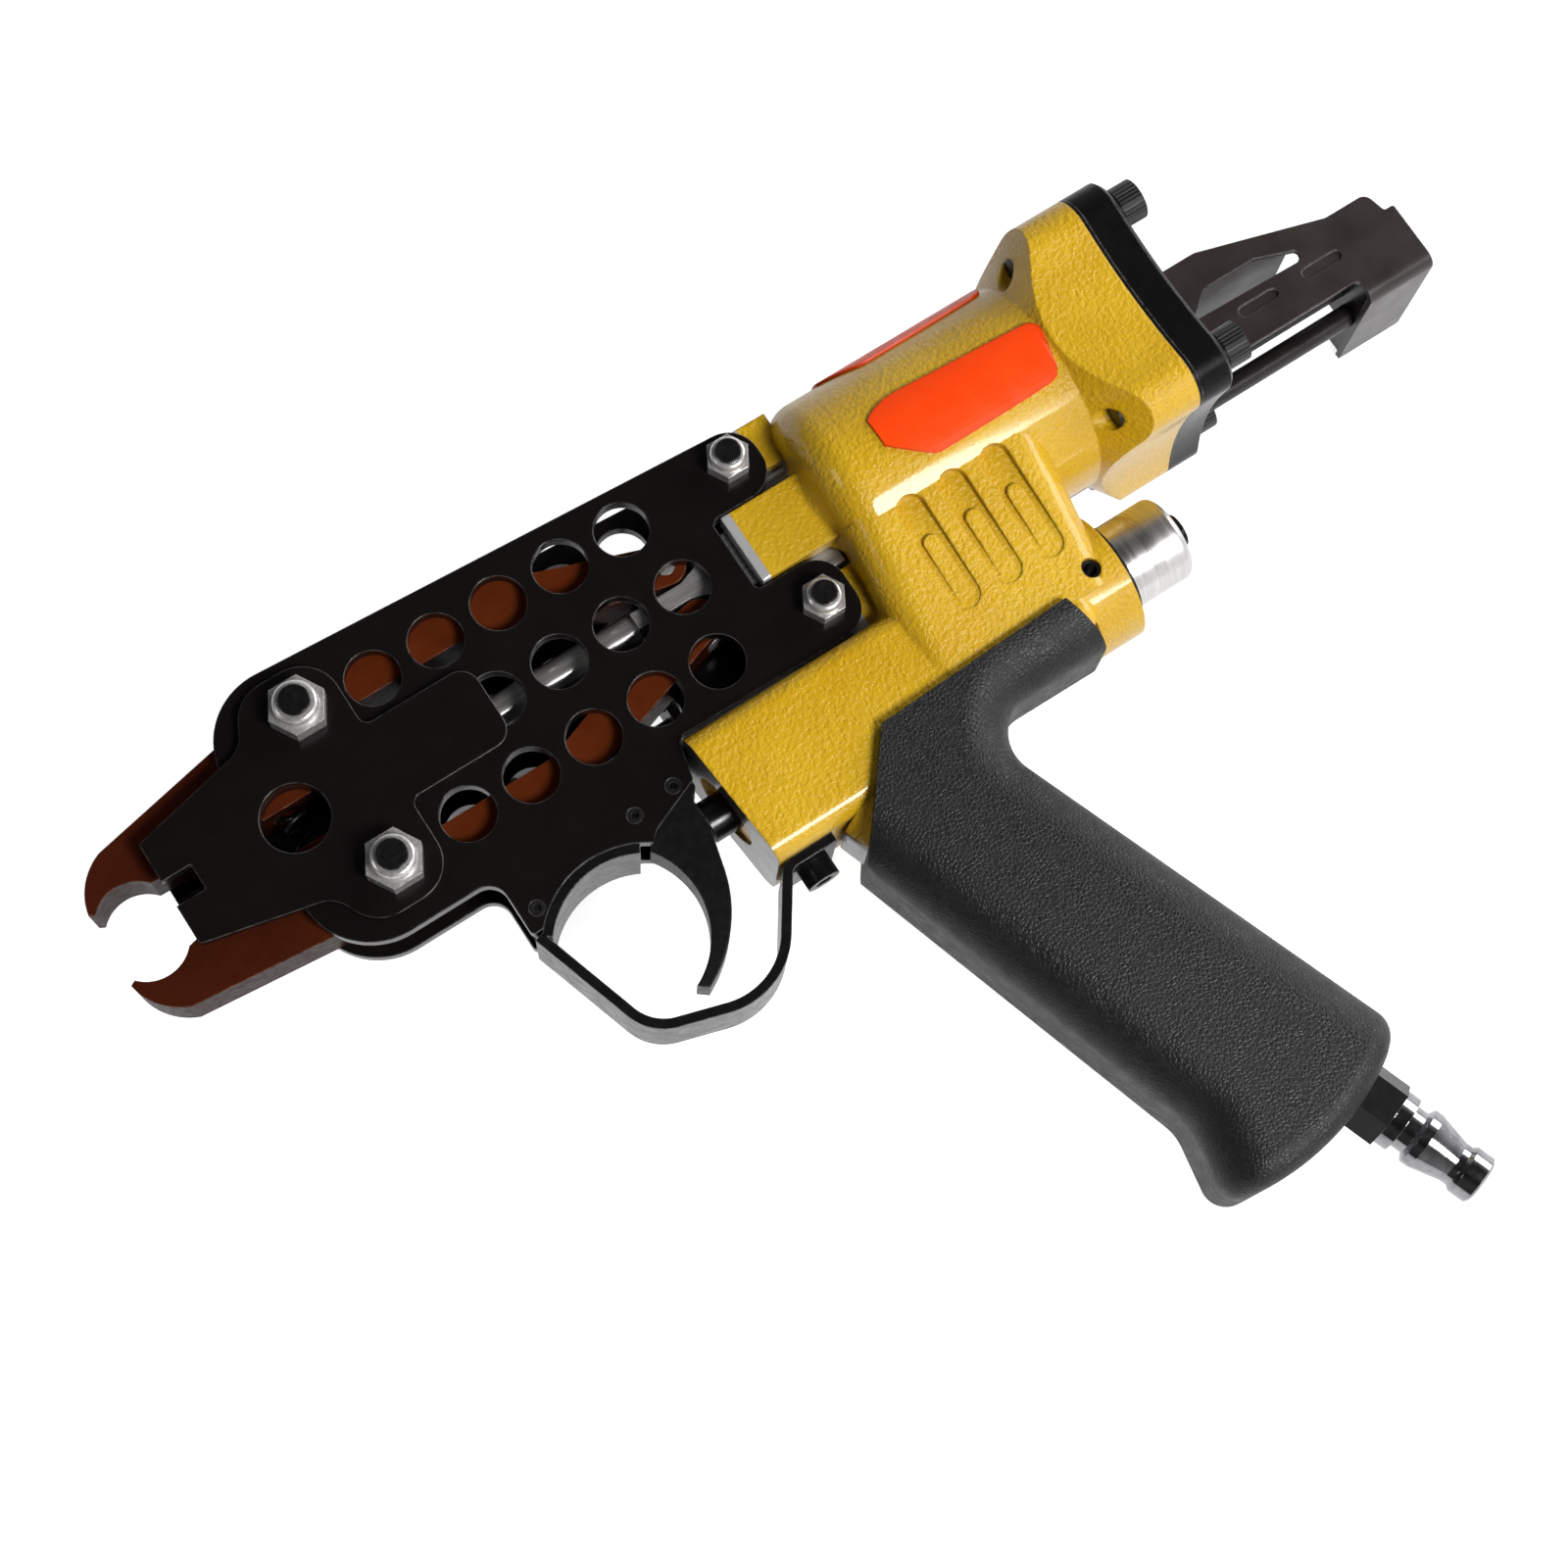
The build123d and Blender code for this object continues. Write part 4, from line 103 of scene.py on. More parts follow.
class Surface:
    """A procedural material on one Principled shader, patterned in millimetres of the frame."""

    def __init__(self, name, **sockets):
        self.material = bpy.data.materials.new(name)
        self.material.use_nodes = True
        self.tree = self.material.node_tree
        self.shader = self.tree.nodes["Principled BSDF"]
        for socket, value in sockets.items():
            self.set(socket.replace("_", " "), value)
        scale = self.node("ShaderNodeMapping")
        scale.inputs["Scale"].default_value = (1 / MM, 1 / MM, 1 / MM)
        self.feed(scale.inputs["Vector"], self.node("ShaderNodeTexCoord").outputs["Object"])
        self.place = scale.outputs["Vector"]

    def node(self, kind, **settings):
        made = self.tree.nodes.new(kind)
        for key, value in settings.items():
            setattr(made, key, value)
        return made

    def feed(self, socket, value):
        """Links an output, or sets a constant."""
        if isinstance(value, bpy.types.NodeSocket):
            self.tree.links.new(value, socket)
        elif isinstance(value, tuple) and socket.type == "RGBA":
            socket.default_value = (*value, 1.0)
        else:
            socket.default_value = value

    def set(self, socket, value):
        self.feed(self.shader.inputs[socket], value)

    def stretched(self, along):
        """The pattern's place, squeezed along each axis."""
        scale = self.node("ShaderNodeMapping")
        scale.inputs["Scale"].default_value = along
        self.feed(scale.inputs["Vector"], self.place)
        return scale.outputs["Vector"]

    def noise(self, size, detail=3.0, along=None):
        """Cloudy pattern whose lumps are about size millimetres across."""
        made = self.node("ShaderNodeTexNoise")
        self.feed(made.inputs["Vector"], self.stretched(along) if along else self.place)
        made.inputs["Scale"].default_value = 1.0 / size
        made.inputs["Detail"].default_value = detail
        made.inputs["Roughness"].default_value = CLOUD_ROUGHNESS
        return made.outputs["Fac"]

    def cells(self, size, feature="SMOOTH_F1"):
        """Cellular pattern, dark in the middle of each cell or on its border."""
        made = self.node("ShaderNodeTexVoronoi", feature=feature)
        self.feed(made.inputs["Vector"], self.place)
        made.inputs["Scale"].default_value = 1.0 / size
        return made.outputs["Distance"]

    def span(self, value, low, high, to_low=0.0, to_high=1.0):
        """Maps a stretch of a pattern to another one, held at its ends."""
        made = self.node("ShaderNodeMapRange", clamp=True)
        for socket, number in zip(("Value", "From Min", "From Max", "To Min", "To Max"),
                                  (value, low, high, to_low, to_high)):
            self.feed(made.inputs[socket], number)
        return made.outputs["Result"]

    def drift(self, size, low=0.0, high=1.0, detail=4.0, along=None):
        """A value that wanders between two others in patches of a size."""
        return self.span(self.noise(size, detail, along), CLOUD_LOW, CLOUD_HIGH, low, high)

    def calc(self, operation, a, b=0.0):
        made = self.node("ShaderNodeMath", operation=operation)
        self.feed(made.inputs[0], a)
        self.feed(made.inputs[1], b)
        return made.outputs["Value"]

    def dot(self, a, b):
        made = self.node("ShaderNodeVectorMath", operation="DOT_PRODUCT")
        self.feed(made.inputs[0], a)
        self.feed(made.inputs[1], b)
        return made.outputs["Value"]

    def tint(self, share, low, high):
        """Mixes two colours."""
        made = self.node("ShaderNodeMix", data_type="RGBA")
        self.feed(made.inputs["Factor"], share)
        self.feed(made.inputs[6], low)       # the node's colour sockets
        self.feed(made.inputs[7], high)
        return made.outputs[2]

    def rounded(self, radius):
        """Normal that runs smoothly round sharp edges."""
        made = self.node("ShaderNodeBevel", samples=BEVEL_SAMPLES)
        made.inputs["Radius"].default_value = radius * MM
        return made.outputs["Normal"]

    def edges(self, radius):
        """1 within a radius of a sharp edge and 0 on the flats."""
        flat = self.node("ShaderNodeNewGeometry").outputs["Normal"]
        return self.span(self.dot(self.rounded(radius), flat), EDGE_STARTS, EDGE_FULL)

    def worn(self, radius, size, low, high):
        """Edges that are rubbed where a cloudy pattern climbs from low to high."""
        return self.calc("MULTIPLY", self.edges(radius), self.span(self.noise(size), low, high))

    def bump(self, height, depth, strength=1.0, over=None):
        """Relief of a depth in millimetres, laid over another normal."""
        made = self.node("ShaderNodeBump")
        made.inputs["Strength"].default_value = strength
        made.inputs["Distance"].default_value = depth * MM
        self.feed(made.inputs["Height"], height)
        if over is not None:
            self.feed(made.inputs["Normal"], over)
        return made.outputs["Normal"]

    def axes(self):
        """The frame's x, y and z in millimetres."""
        made = self.node("ShaderNodeSeparateXYZ")
        self.feed(made.inputs["Vector"], self.place)
        return made.outputs["X"], made.outputs["Y"], made.outputs["Z"]

    def between(self, value, low, high):
        """1 inside a range and 0 outside it."""
        above = self.calc("GREATER_THAN", value, low)
        return self.calc("MULTIPLY", above, self.calc("LESS_THAN", value, high))

    def facing(self, direction):
        """Cosine between the true face normal and a direction of the frame."""
        flat = self.node("ShaderNodeNewGeometry").outputs["True Normal"]
        local = self.node("ShaderNodeVectorTransform", vector_type="NORMAL", convert_from="WORLD",
                          convert_to="OBJECT")
        self.feed(local.inputs["Vector"], flat)
        return self.dot(local.outputs["Vector"], direction)

    def machined(self):
        """1 on the bare faces of the casting: the fronts of the block and the bridge, the strip along
        the bridge and the tang between the plates."""
        x, y, z = self.axes()
        high = self.calc("GREATER_THAN", y, ORIGIN.y + TANG_LOW)
        looks_front = self.calc("GREATER_THAN", self.facing((-1, 0, 0)), SQUARE_ON)
        fronts = self.calc("MULTIPLY", looks_front, self.calc("LESS_THAN", x, ORIGIN.x + CASTING_FRONTS))
        before = self.calc("LESS_THAN", x, ORIGIN.x + BRIDGE_FRONT + BRIDGE_STRIP)
        strip = self.calc("MULTIPLY", before, high)
        inside = self.between(z, ORIGIN.z - TANG_HALF, ORIGIN.z + TANG_HALF)
        tang = self.calc("MULTIPLY", inside, self.calc("LESS_THAN", x, ORIGIN.x + TANG_REAR))
        tang = self.calc("MULTIPLY", tang, high)
        return self.calc("MAXIMUM", self.calc("MAXIMUM", fronts, strip), tang)


# Finishes. Sizes of lumps, depths of relief and radii of edges are in millimetres.
def enamel():
    """Mustard enamel with a hammered skin, bare where the casting was machined in front."""
    s = Surface("hammered_enamel", Specular_IOR_Level=0.3, Coat_Weight=0.55, Coat_Roughness=0.1)
    paint = s.tint(s.drift(16.0), srgb(196, 152, 14), srgb(210, 169, 32))
    rubbed = s.calc("MULTIPLY", s.worn(0.5, 3.0, 0.5, 0.68), 0.5)
    paint = s.tint(rubbed, paint, srgb(224, 192, 84))
    bare = s.machined()
    milling = s.noise(1.2, 2.0, along=(0.06, 1.0, 1.0))
    # painted shade: the block's machined fronts below the tang get a darker copy of the bare metal, while
    # the bridge, its strip and the tang get the bright copy
    block = s.tint(milling, srgb(70, 69, 71), srgb(112, 110, 112))
    bridge = s.calc("GREATER_THAN", s.axes()[Y_AXIS], ORIGIN.y + TANG_LOW)
    metal = s.tint(bridge, block, srgb(214, 213, 214))
    s.set("Base Color", s.tint(bare, paint, metal))
    s.set("Metallic", s.calc("MULTIPLY", bare, 0.5))
    s.set("Roughness", s.drift(5.0, 0.26, 0.36, detail=3.0))
    peel = s.calc("ADD", s.calc("MULTIPLY", s.cells(0.95), 0.8), s.calc("MULTIPLY", s.noise(0.55, 2.0), 0.8))
    peel = s.calc("MULTIPLY", peel, s.calc("SUBTRACT", 1.0, bare))
    s.set("Normal", s.bump(peel, 0.34, 0.85, s.rounded(0.8)))
    return s.material


def plate_black():
    """Gloss black plates with softened, slightly polished edges."""
    s = Surface("plate_black", Specular_IOR_Level=0.35)
    body = s.tint(s.noise(9.0), srgb(14, 12, 11), srgb(20, 17, 16))
    s.set("Base Color", s.tint(s.worn(0.4, 2.5, 0.3, 0.6), body, srgb(120, 118, 116)))
    s.set("Roughness", s.drift(4.0, 0.15, 0.25, detail=5.0))
    scratch = s.noise(0.7, along=(0.12, 1.0, 1.0))
    s.set("Normal", s.bump(scratch, 0.015, 0.4, s.rounded(0.5)))
    return s.material


def guard_black():
    """Gloss black strip with its edges rubbed bright."""
    s = Surface("guard_black", Specular_IOR_Level=0.35)
    body = s.tint(s.noise(7.0, 4.0), srgb(9, 9, 9), srgb(20, 19, 19))
    s.set("Base Color", s.tint(s.worn(0.35, 2.0, 0.3, 0.6), body, srgb(150, 148, 147)))
    s.set("Roughness", s.drift(3.0, 0.18, 0.32))
    s.set("Normal", s.bump(s.noise(0.9), 0.015, 0.4, s.rounded(0.35)))
    return s.material


def jaw_brown():
    """Brown oxide on hardened jaws, darker on the hooks and on the side faces as painted shade, lighter on
    the arms between the plates as painted light.
    """
    s = Surface("jaw_brown", Specular_IOR_Level=0.06)
    cloud = s.noise(6.0, 4.0)
    # painted light and shade: one brown in two tones, darker on the hooks as shade and lighter on the arms
    # as if lit
    hook_shade_tone = s.tint(cloud, srgb(56, 20, 9), srgb(70, 28, 13))
    arm_lit_tone = s.tint(cloud, srgb(76, 29, 9), srgb(96, 41, 15))
    behind = s.span(s.axes()[X_AXIS], ORIGIN.x + HOOK_X, ORIGIN.x + ARM_X)
    # painted shade: faces that look across the plates are painted a darker brown
    painted_shade_sides = s.span(s.calc("ABSOLUTE", s.facing((0, 0, 1))), 0.7, 0.3)
    body = s.tint(painted_shade_sides, s.tint(behind, hook_shade_tone, arm_lit_tone), srgb(40, 15, 8))
    rubbed = s.calc("MULTIPLY", s.worn(0.45, 2.0, 0.35, 0.65), 0.6)
    s.set("Base Color", s.tint(rubbed, body, srgb(186, 138, 112)))
    s.set("Roughness", s.drift(1.5, 0.26, 0.44))
    s.set("Normal", s.bump(s.noise(0.5), 0.02, 0.5, s.rounded(0.4)))
    return s.material


def plated(name, low, high, roughness, grain=(1.0, 1.0, 1.0), size=0.8, depth=0.015, metallic=1.0):
    """Bare or plated metal with a fine machining grain."""
    s = Surface(name, Metallic=metallic)
    marks = s.noise(size, along=grain)
    s.set("Base Color", s.tint(s.span(marks, CLOUD_LOW, CLOUD_HIGH), low, high))
    s.set("Roughness", s.drift(2.5, roughness * 0.8, roughness * 1.25, along=grain))
    s.set("Normal", s.bump(marks, depth, 0.5, s.rounded(0.2)))
    return s.material


def plug_chrome():
    """Chrome nipple behind a blackened hexagon."""
    s = Surface("chrome")
    black = s.calc("LESS_THAN", s.dot(s.place, GRIP_DOWN), HEX_END + GRIP_DOWN.dot(ORIGIN + HANDLE_TOP))
    marks = s.noise(2.0)
    bright = s.tint(s.span(marks, CLOUD_LOW, CLOUD_HIGH), srgb(140, 140, 143), srgb(168, 168, 171))
    dark = s.tint(s.noise(0.7, 4.0), srgb(16, 16, 16), srgb(34, 33, 33))
    s.set("Base Color", s.tint(black, bright, dark))
    s.set("Metallic", s.span(black, 0.0, 1.0, 1.0, 0.6))
    polish = s.span(marks, CLOUD_LOW, CLOUD_HIGH, 0.08, 0.13)
    s.set("Roughness", s.calc("ADD", polish, s.calc("MULTIPLY", black, 0.2)))
    s.set("Normal", s.bump(marks, 0.004, 0.5, s.rounded(0.2)))
    return s.material


def oxide(name, low, high, roughness, edge_tone, radius=0.25, cloud=3.0, gloss=0.4):
    """Blackened steel with edges rubbed paler."""
    s = Surface(name, Specular_IOR_Level=gloss)
    body = s.tint(s.noise(cloud, 4.0), low, high)
    s.set("Base Color", s.tint(s.worn(radius, 1.2, 0.35, 0.65), body, edge_tone))
    s.set("Roughness", s.drift(cloud / 2, roughness * 0.85, roughness * 1.2))
    s.set("Normal", s.bump(s.noise(0.6), 0.02, 0.5, s.rounded(radius)))
    return s.material


def threaded():
    """Black bolts whose ends above the nose plate carry a thread, rubbed bright on its crests."""
    s = Surface("stud_black", Metallic=0.5)
    z = s.axes()[Z_AXIS]
    crest = s.calc("SINE", s.calc("MULTIPLY", z, 2 * math.pi / THREAD_PITCH))
    above = s.calc("GREATER_THAN", z, ORIGIN.z + NOSE_TOP)
    top = s.calc("GREATER_THAN", s.facing((0, 0, 1)), SQUARE_ON)
    side = s.calc("MULTIPLY", s.calc("MULTIPLY", s.span(crest, 0.3, 1.0), above),
                  s.calc("SUBTRACT", 1.0, top))
    body = s.tint(s.noise(1.4, 4.0), srgb(16, 15, 15), srgb(40, 38, 37))
    s.set("Base Color", s.tint(side, body, srgb(150, 148, 146)))
    s.set("Roughness", s.drift(1.0, 0.2, 0.34))
    dents = s.calc("MULTIPLY", s.noise(2.4, 1.0), 3.0)
    relief = s.calc("ADD", s.calc("MULTIPLY", side, 0.8), dents)
    s.set("Normal", s.bump(relief, 0.2, 0.6, s.rounded(0.6)))
    return s.material


def knurled():
    """Black cap screws with straight knurls round their heads."""
    s = Surface("knurled_black", Metallic=0.4)
    _, y, z = s.axes()
    across = s.calc("SUBTRACT", s.calc("ABSOLUTE", s.calc("SUBTRACT", y, ORIGIN.y)), SCREW_Y)
    up = s.calc("SUBTRACT", s.calc("ABSOLUTE", s.calc("SUBTRACT", z, ORIGIN.z)), SCREW_Y)
    turn = s.calc("MULTIPLY", s.calc("ARCTAN2", across, up), KNURLS)
    round_face = s.calc("LESS_THAN", s.calc("ABSOLUTE", s.facing((1, 0, 0))), 0.5)
    ridge = s.calc("MULTIPLY", s.span(s.calc("SINE", turn), -0.4, 0.6), round_face)
    body = s.tint(s.noise(1.4, 4.0), srgb(12, 12, 12), srgb(26, 25, 25))
    s.set("Base Color", s.tint(s.calc("MULTIPLY", ridge, 0.4), body, srgb(84, 82, 80)))
    s.set("Roughness", s.drift(1.0, 0.28, 0.44))
    s.set("Normal", s.bump(ridge, 0.25, 0.7, s.rounded(0.3)))
    return s.material


def grained_rubber():
    """Charcoal rubber with a leather grain moulded in."""
    s = Surface("grained_rubber", Specular_IOR_Level=0.4)
    pebble = s.span(s.cells(0.85, "DISTANCE_TO_EDGE"), 0.0, 0.25)
    skin = s.tint(s.noise(18.0, 4.0), srgb(16, 16, 17), srgb(22, 22, 23))
    # painted shade: the grooves between the pebbles are painted darker
    s.set("Base Color", s.tint(pebble, srgb(11, 11, 11), skin))
    s.set("Roughness", s.drift(3.0, 0.42, 0.56, detail=3.0))
    grain = s.calc("ADD", pebble, s.calc("MULTIPLY", s.noise(0.6, 2.0), 0.4))
    s.set("Normal", s.bump(grain, 0.12, 0.55))
    return s.material


def label_film():
    """Bare red-orange label film with a thin dark rim."""
    s = Surface("label_film", Specular_IOR_Level=0.25)
    film = s.tint(s.noise(8.0), srgb(246, 62, 4), srgb(252, 76, 14))
    rim = s.calc("MULTIPLY", s.edges(0.8), 0.8)
    s.set("Base Color", s.tint(rim, film, srgb(112, 52, 14)))
    s.set("Roughness", s.drift(3.0, 0.3, 0.42, detail=3.0))
    s.set("Normal", s.bump(s.noise(1.1, 2.0), 0.02, 0.3))
    return s.material


NICKEL = plated("bright_nickel", srgb(196, 194, 192), srgb(238, 236, 234), 0.24, metallic=0.72)
CHROME = plug_chrome()
STEEL = plated("ground_steel", srgb(150, 148, 146), srgb(190, 188, 186), 0.26,
               grain=(0.08, 1.0, 1.0), metallic=0.6)
ALUMINIUM = plated("brushed_aluminium", srgb(206, 204, 202), srgb(224, 222, 220), 0.3,
                   grain=(1.0, 0.02, 0.02), size=0.5, depth=0.004)
BRASS = plated("bush_brass", srgb(168, 128, 62), srgb(204, 164, 92), 0.3)
CAP_BLACK = oxide("cap_black", srgb(11, 11, 11), srgb(20, 19, 19), 0.22, srgb(110, 108, 106),
                  radius=0.5, gloss=0.14)
SCREW_BLACK = oxide("screw_black", srgb(10, 10, 10), srgb(20, 19, 19), 0.22, srgb(150, 148, 144))
SPRING_BLACK = oxide("spring_black", srgb(14, 13, 13), srgb(26, 25, 25), 0.3, srgb(90, 88, 86))
SHEET = oxide("bronze_sheet", srgb(34, 27, 25), srgb(46, 38, 36), 0.32, srgb(150, 140, 138),
              radius=0.4, cloud=14.0, gloss=0.6)
ROD = oxide("rod_black", srgb(24, 21, 21), srgb(38, 34, 33), 0.24, srgb(130, 124, 120),
            radius=0.3, cloud=8.0)
PIN_BLACK = oxide("pin_black", srgb(11, 10, 10), srgb(20, 19, 19), 0.34, srgb(50, 48, 47))
TRIGGER_BLACK = oxide("trigger_black", srgb(12, 12, 12), srgb(20, 19, 19), 0.34, srgb(96, 94, 92),
                      radius=0.6, gloss=0.3)
SEAL = oxide("seal_rubber", srgb(20, 20, 20), srgb(30, 30, 30), 0.6, srgb(44, 44, 44))
STUD = threaded()
KNURL = knurled()
GUARD = guard_black()
ENAMEL = enamel()
PLATE = plate_black()
JAW = jaw_brown()
RUBBER = grained_rubber()
FILM = label_film()

FINISH = {
    ENAMEL: ["main_housing"],
    PLATE: ["left_side_plate", "right_side_plate", "left_nose_plate", "right_nose_plate"],
    JAW: ["upper_jaw", "lower_jaw"],
    NICKEL: ["jaw_pivot_nuts", "rear_plate_nuts", "inlet_washer"],
    CHROME: ["air_plug"],
    STEEL: ["drive_wedge", "upper_roller", "lower_roller", "upper_roller_pin", "lower_roller_pin",
            "piston_nut"],
    ALUMINIUM: ["exhaust_cap", "piston"],
    BRASS: ["rod_bush", "valve_bush", "valve_seat"],
    CAP_BLACK: ["end_cap", "end_cap_gasket", "exhaust_collar", "exhaust_knob"],
    SCREW_BLACK: ["end_cap_washers", "guard_screw", "frame_screws", "bracket_screws", "valve_stem"],
    PIN_BLACK: ["plate_pins", "trigger_pin", "exhaust_pin"],
    STUD: ["jaw_pivot_bolts", "rear_plate_bolts"],
    KNURL: ["end_cap_screws"],
    SHEET: ["magazine_frame", "feed_bracket"],
    ROD: ["magazine_rail", "guide_rod", "thin_rod", "rail_end_block", "ring_pusher"],
    TRIGGER_BLACK: ["trigger"],
    GUARD: ["trigger_guard"],
    SEAL: ["piston_seal"],
    RUBBER: ["grip_sleeve"],
}

for material, names in FINISH.items():
    for name in names:
        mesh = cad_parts[name].data
        mesh.materials.clear()
        mesh.materials.append(material)


def piece(name, bm, material):
    """Turns a bmesh into a piece of the scene, its faces looking outwards."""
    bmesh.ops.recalc_face_normals(bm, faces=bm.faces)
    mesh = bpy.data.meshes.new(name)
    bm.to_mesh(mesh)
    bm.free()
    mesh.materials.append(material)
    made = bpy.data.objects.new(name, mesh)
    bpy.context.scene.collection.objects.link(made)
    return made


# Labels on the barrel: a thin film with a blunt point in front, wrapped round the cylinder.
LABEL_EDGES = {          # x: (lower edge, upper edge), in the tool's y as seen from the side
    120.4: (-0.6, 5.4),
    121.5: (-1.6, 6.3),
    123.0: (-2.8, 7.0),
    125.5: (-4.8, 7.7),
    128.0: (-6.6, 7.9),
    129.2: (-6.9, 7.85),
    140.0: (-6.85, 7.1),
    150.0: (-6.7, 6.5),
    155.2: (-6.5, 6.15),
    156.8: (-6.0, 6.05),
    157.8: (-4.4, 5.9),
    158.8: (0.4, 5.3),
    159.5: (3.6, 4.3),
}
LABEL_LIFT = 0.3         # middle of the film above the barrel
LABEL_ROWS = 10
TOP_LABEL_TURN = math.radians(74.0)


def label(name, turn):
    """The film, turned about the barrel's axis by an angle."""
    lift = BARREL_R + LABEL_LIFT
    bm = bmesh.new()
    columns = []
    for x, (low, high) in LABEL_EDGES.items():
        start, end = math.asin(low / BARREL_R), math.asin(high / BARREL_R)
        angles = [start + (end - start) * i / LABEL_ROWS + turn for i in range(LABEL_ROWS + 1)]
        columns.append([bm.verts.new(at(x, lift * math.sin(a), lift * math.cos(a))) for a in angles])
    for left, right in zip(columns, columns[1:]):
        for i in range(LABEL_ROWS):
            bm.faces.new((left[i], right[i], right[i + 1], left[i + 1]))
    film = piece(name, bm, FILM)
    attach(film, "frame")
    solid = film.modifiers.new("film", "SOLIDIFY")
    solid.thickness = 2 * LABEL_LIFT * MM
    solid.offset = 0


label("label_left", 0.0)
label("label_top", TOP_LABEL_TURN)


# Springs: wound wire in place of the solids.
WIRE_SIDES = 8
STEPS_PER_TURN = 20
END_TURN_DRAW = 0.6      # how far the end turns are drawn together


def spring(name, node, axis, turns, wire, material, start=0.0, end=1.0, flat=1.0):
    """Wire of a thickness in millimetres, wound along an axis of the frame within a node's box.

    start and end are the shares of its length that are made, flat the wire's share of its
    thickness along the axis."""
    low, high = (Vector(corner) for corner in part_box(node))
    along, side = Vector((0, 0, 0)), Vector((0, 0, 0))
    along[axis], side[(axis + 1) % 3] = 1.0, 1.0
    across = along.cross(side)
    thick = wire * MM
    foot = (low + high) / 2
    foot[axis] = low[axis] + thick / 2
    climb = high[axis] - low[axis] - thick
    radius = (high - low).dot(side) / 2 - thick / 2

    def spoke(t):
        turn = 2 * math.pi * turns * t
        return side * math.cos(turn) + across * math.sin(turn)

    def middle(t):
        eased = t - END_TURN_DRAW * math.sin(2 * math.pi * t) / (2 * math.pi)
        return foot + along * (climb * eased) + spoke(t) * radius

    bm = bmesh.new()
    rings = []
    count = turns * STEPS_PER_TURN
    angles = [2 * math.pi * k / WIRE_SIDES for k in range(WIRE_SIDES)]
    for i in range(round(start * count), round(end * count) + 1):
        t = i / count
        out = spoke(t)
        up = (middle(t + 0.5 / count) - middle(t - 0.5 / count)).normalized().cross(out) * flat
        rings.append([bm.verts.new(middle(t) + (out * math.cos(a) + up * math.sin(a)) * thick / 2)
                      for a in angles])
    for first, second in zip(rings, rings[1:]):
        for k in range(WIRE_SIDES):
            bm.faces.new((first[k], first[k - 1], second[k - 1], second[k])).smooth = True
    bm.faces.new(rings[0])
    bm.faces.new(rings[-1])
    made = piece(name, bm, material)
    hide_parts(node)
    return made


def shortening(made):
    """Spring that rides on the frame, with a mesh of its own."""
    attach(made, "frame")
    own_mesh(made)


RETURN_TURNS, RETURN_WIRE = 6, 2.0
VALVE_TURNS, VALVE_WIRE = 7, 1.0
JAW_TURNS, JAW_WIRE = 5, 0.9
PUSHER_TURNS, PUSHER_WIRE = 34, 0.8
PUSHER_FLAT = 0.3        # thin at rest, so that the stretched wire looks round

coil = spring("return_coil", "piston_return_spring", X_AXIS, RETURN_TURNS, RETURN_WIRE, STEEL)
shortening(coil)

coil = spring("valve_coil", "valve_spring", X_AXIS, VALVE_TURNS, VALVE_WIRE, STEEL)
shortening(coil)

for jaw, way, start, end in (("lower_jaw", -1, 0.0, 0.5), ("upper_jaw", 1, 0.5, 1.0)):
    coil = spring(jaw + "_coil", "jaw_spring", Y_AXIS, JAW_TURNS, JAW_WIRE, SPRING_BLACK, start, end)
    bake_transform(coil)

coil = spring("pusher_coil", "pusher_spring", X_AXIS, PUSHER_TURNS, PUSHER_WIRE, STEEL, flat=PUSHER_FLAT)
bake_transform(coil)


# Studio: pale floor, soft lamps and the camera of the photograph. Places are in the frame's metres.
FLOOR_SIZE = 6.0
FLOOR_LEVEL = -0.0005
FLOOR_TONE = (0.62, 0.62, 0.62, 1)
FLOOR_ROUGHNESS = 0.9
FLOOR_GLOW = 0.82        # floor's own white, seen directly
FLOOR_MIRRORED = 0.35    # and in polished surfaces
LAMP_TARGET = (0, 0, 0.05)
LAMPS = {                # name: (place, size, watts)
    "overhead": ((0.2, -0.6, 0.95), 0.35, 12.0),
    "right": ((0.95, 0.1, 0.5), 0.5, 5.0),
    "left": ((-0.8, 0.3, 0.68), 0.3, 0.8),
}
SKY_FADE = (0.2, 0.85, 0.9, 0.05)        # from this height to that one, from this light to that one
LIT_SIDE = (0.84, -0.3, 0.0)
SIDE_FADE = (-0.6, 0.6, 0.05, 1.1)       # the same along the direction of the lit side
CAMERA_AT = Vector((-127.73, -69.76, 600.40)) * MM
CAMERA_TURN = (14.400, -2.623, -33.189)  # degrees
LENS = 66.6
SENSOR = 36.0            # side of the square picture
NEAR_CLIP = 0.01


def maths(tree, operation, *values):
    """A maths node over outputs and numbers."""
    made = tree.nodes.new("ShaderNodeMath")
    made.operation = operation
    for socket, value in zip(made.inputs, values):
        if isinstance(value, float):
            socket.default_value = value
        else:
            tree.links.new(value, socket)
    return made.outputs["Value"]


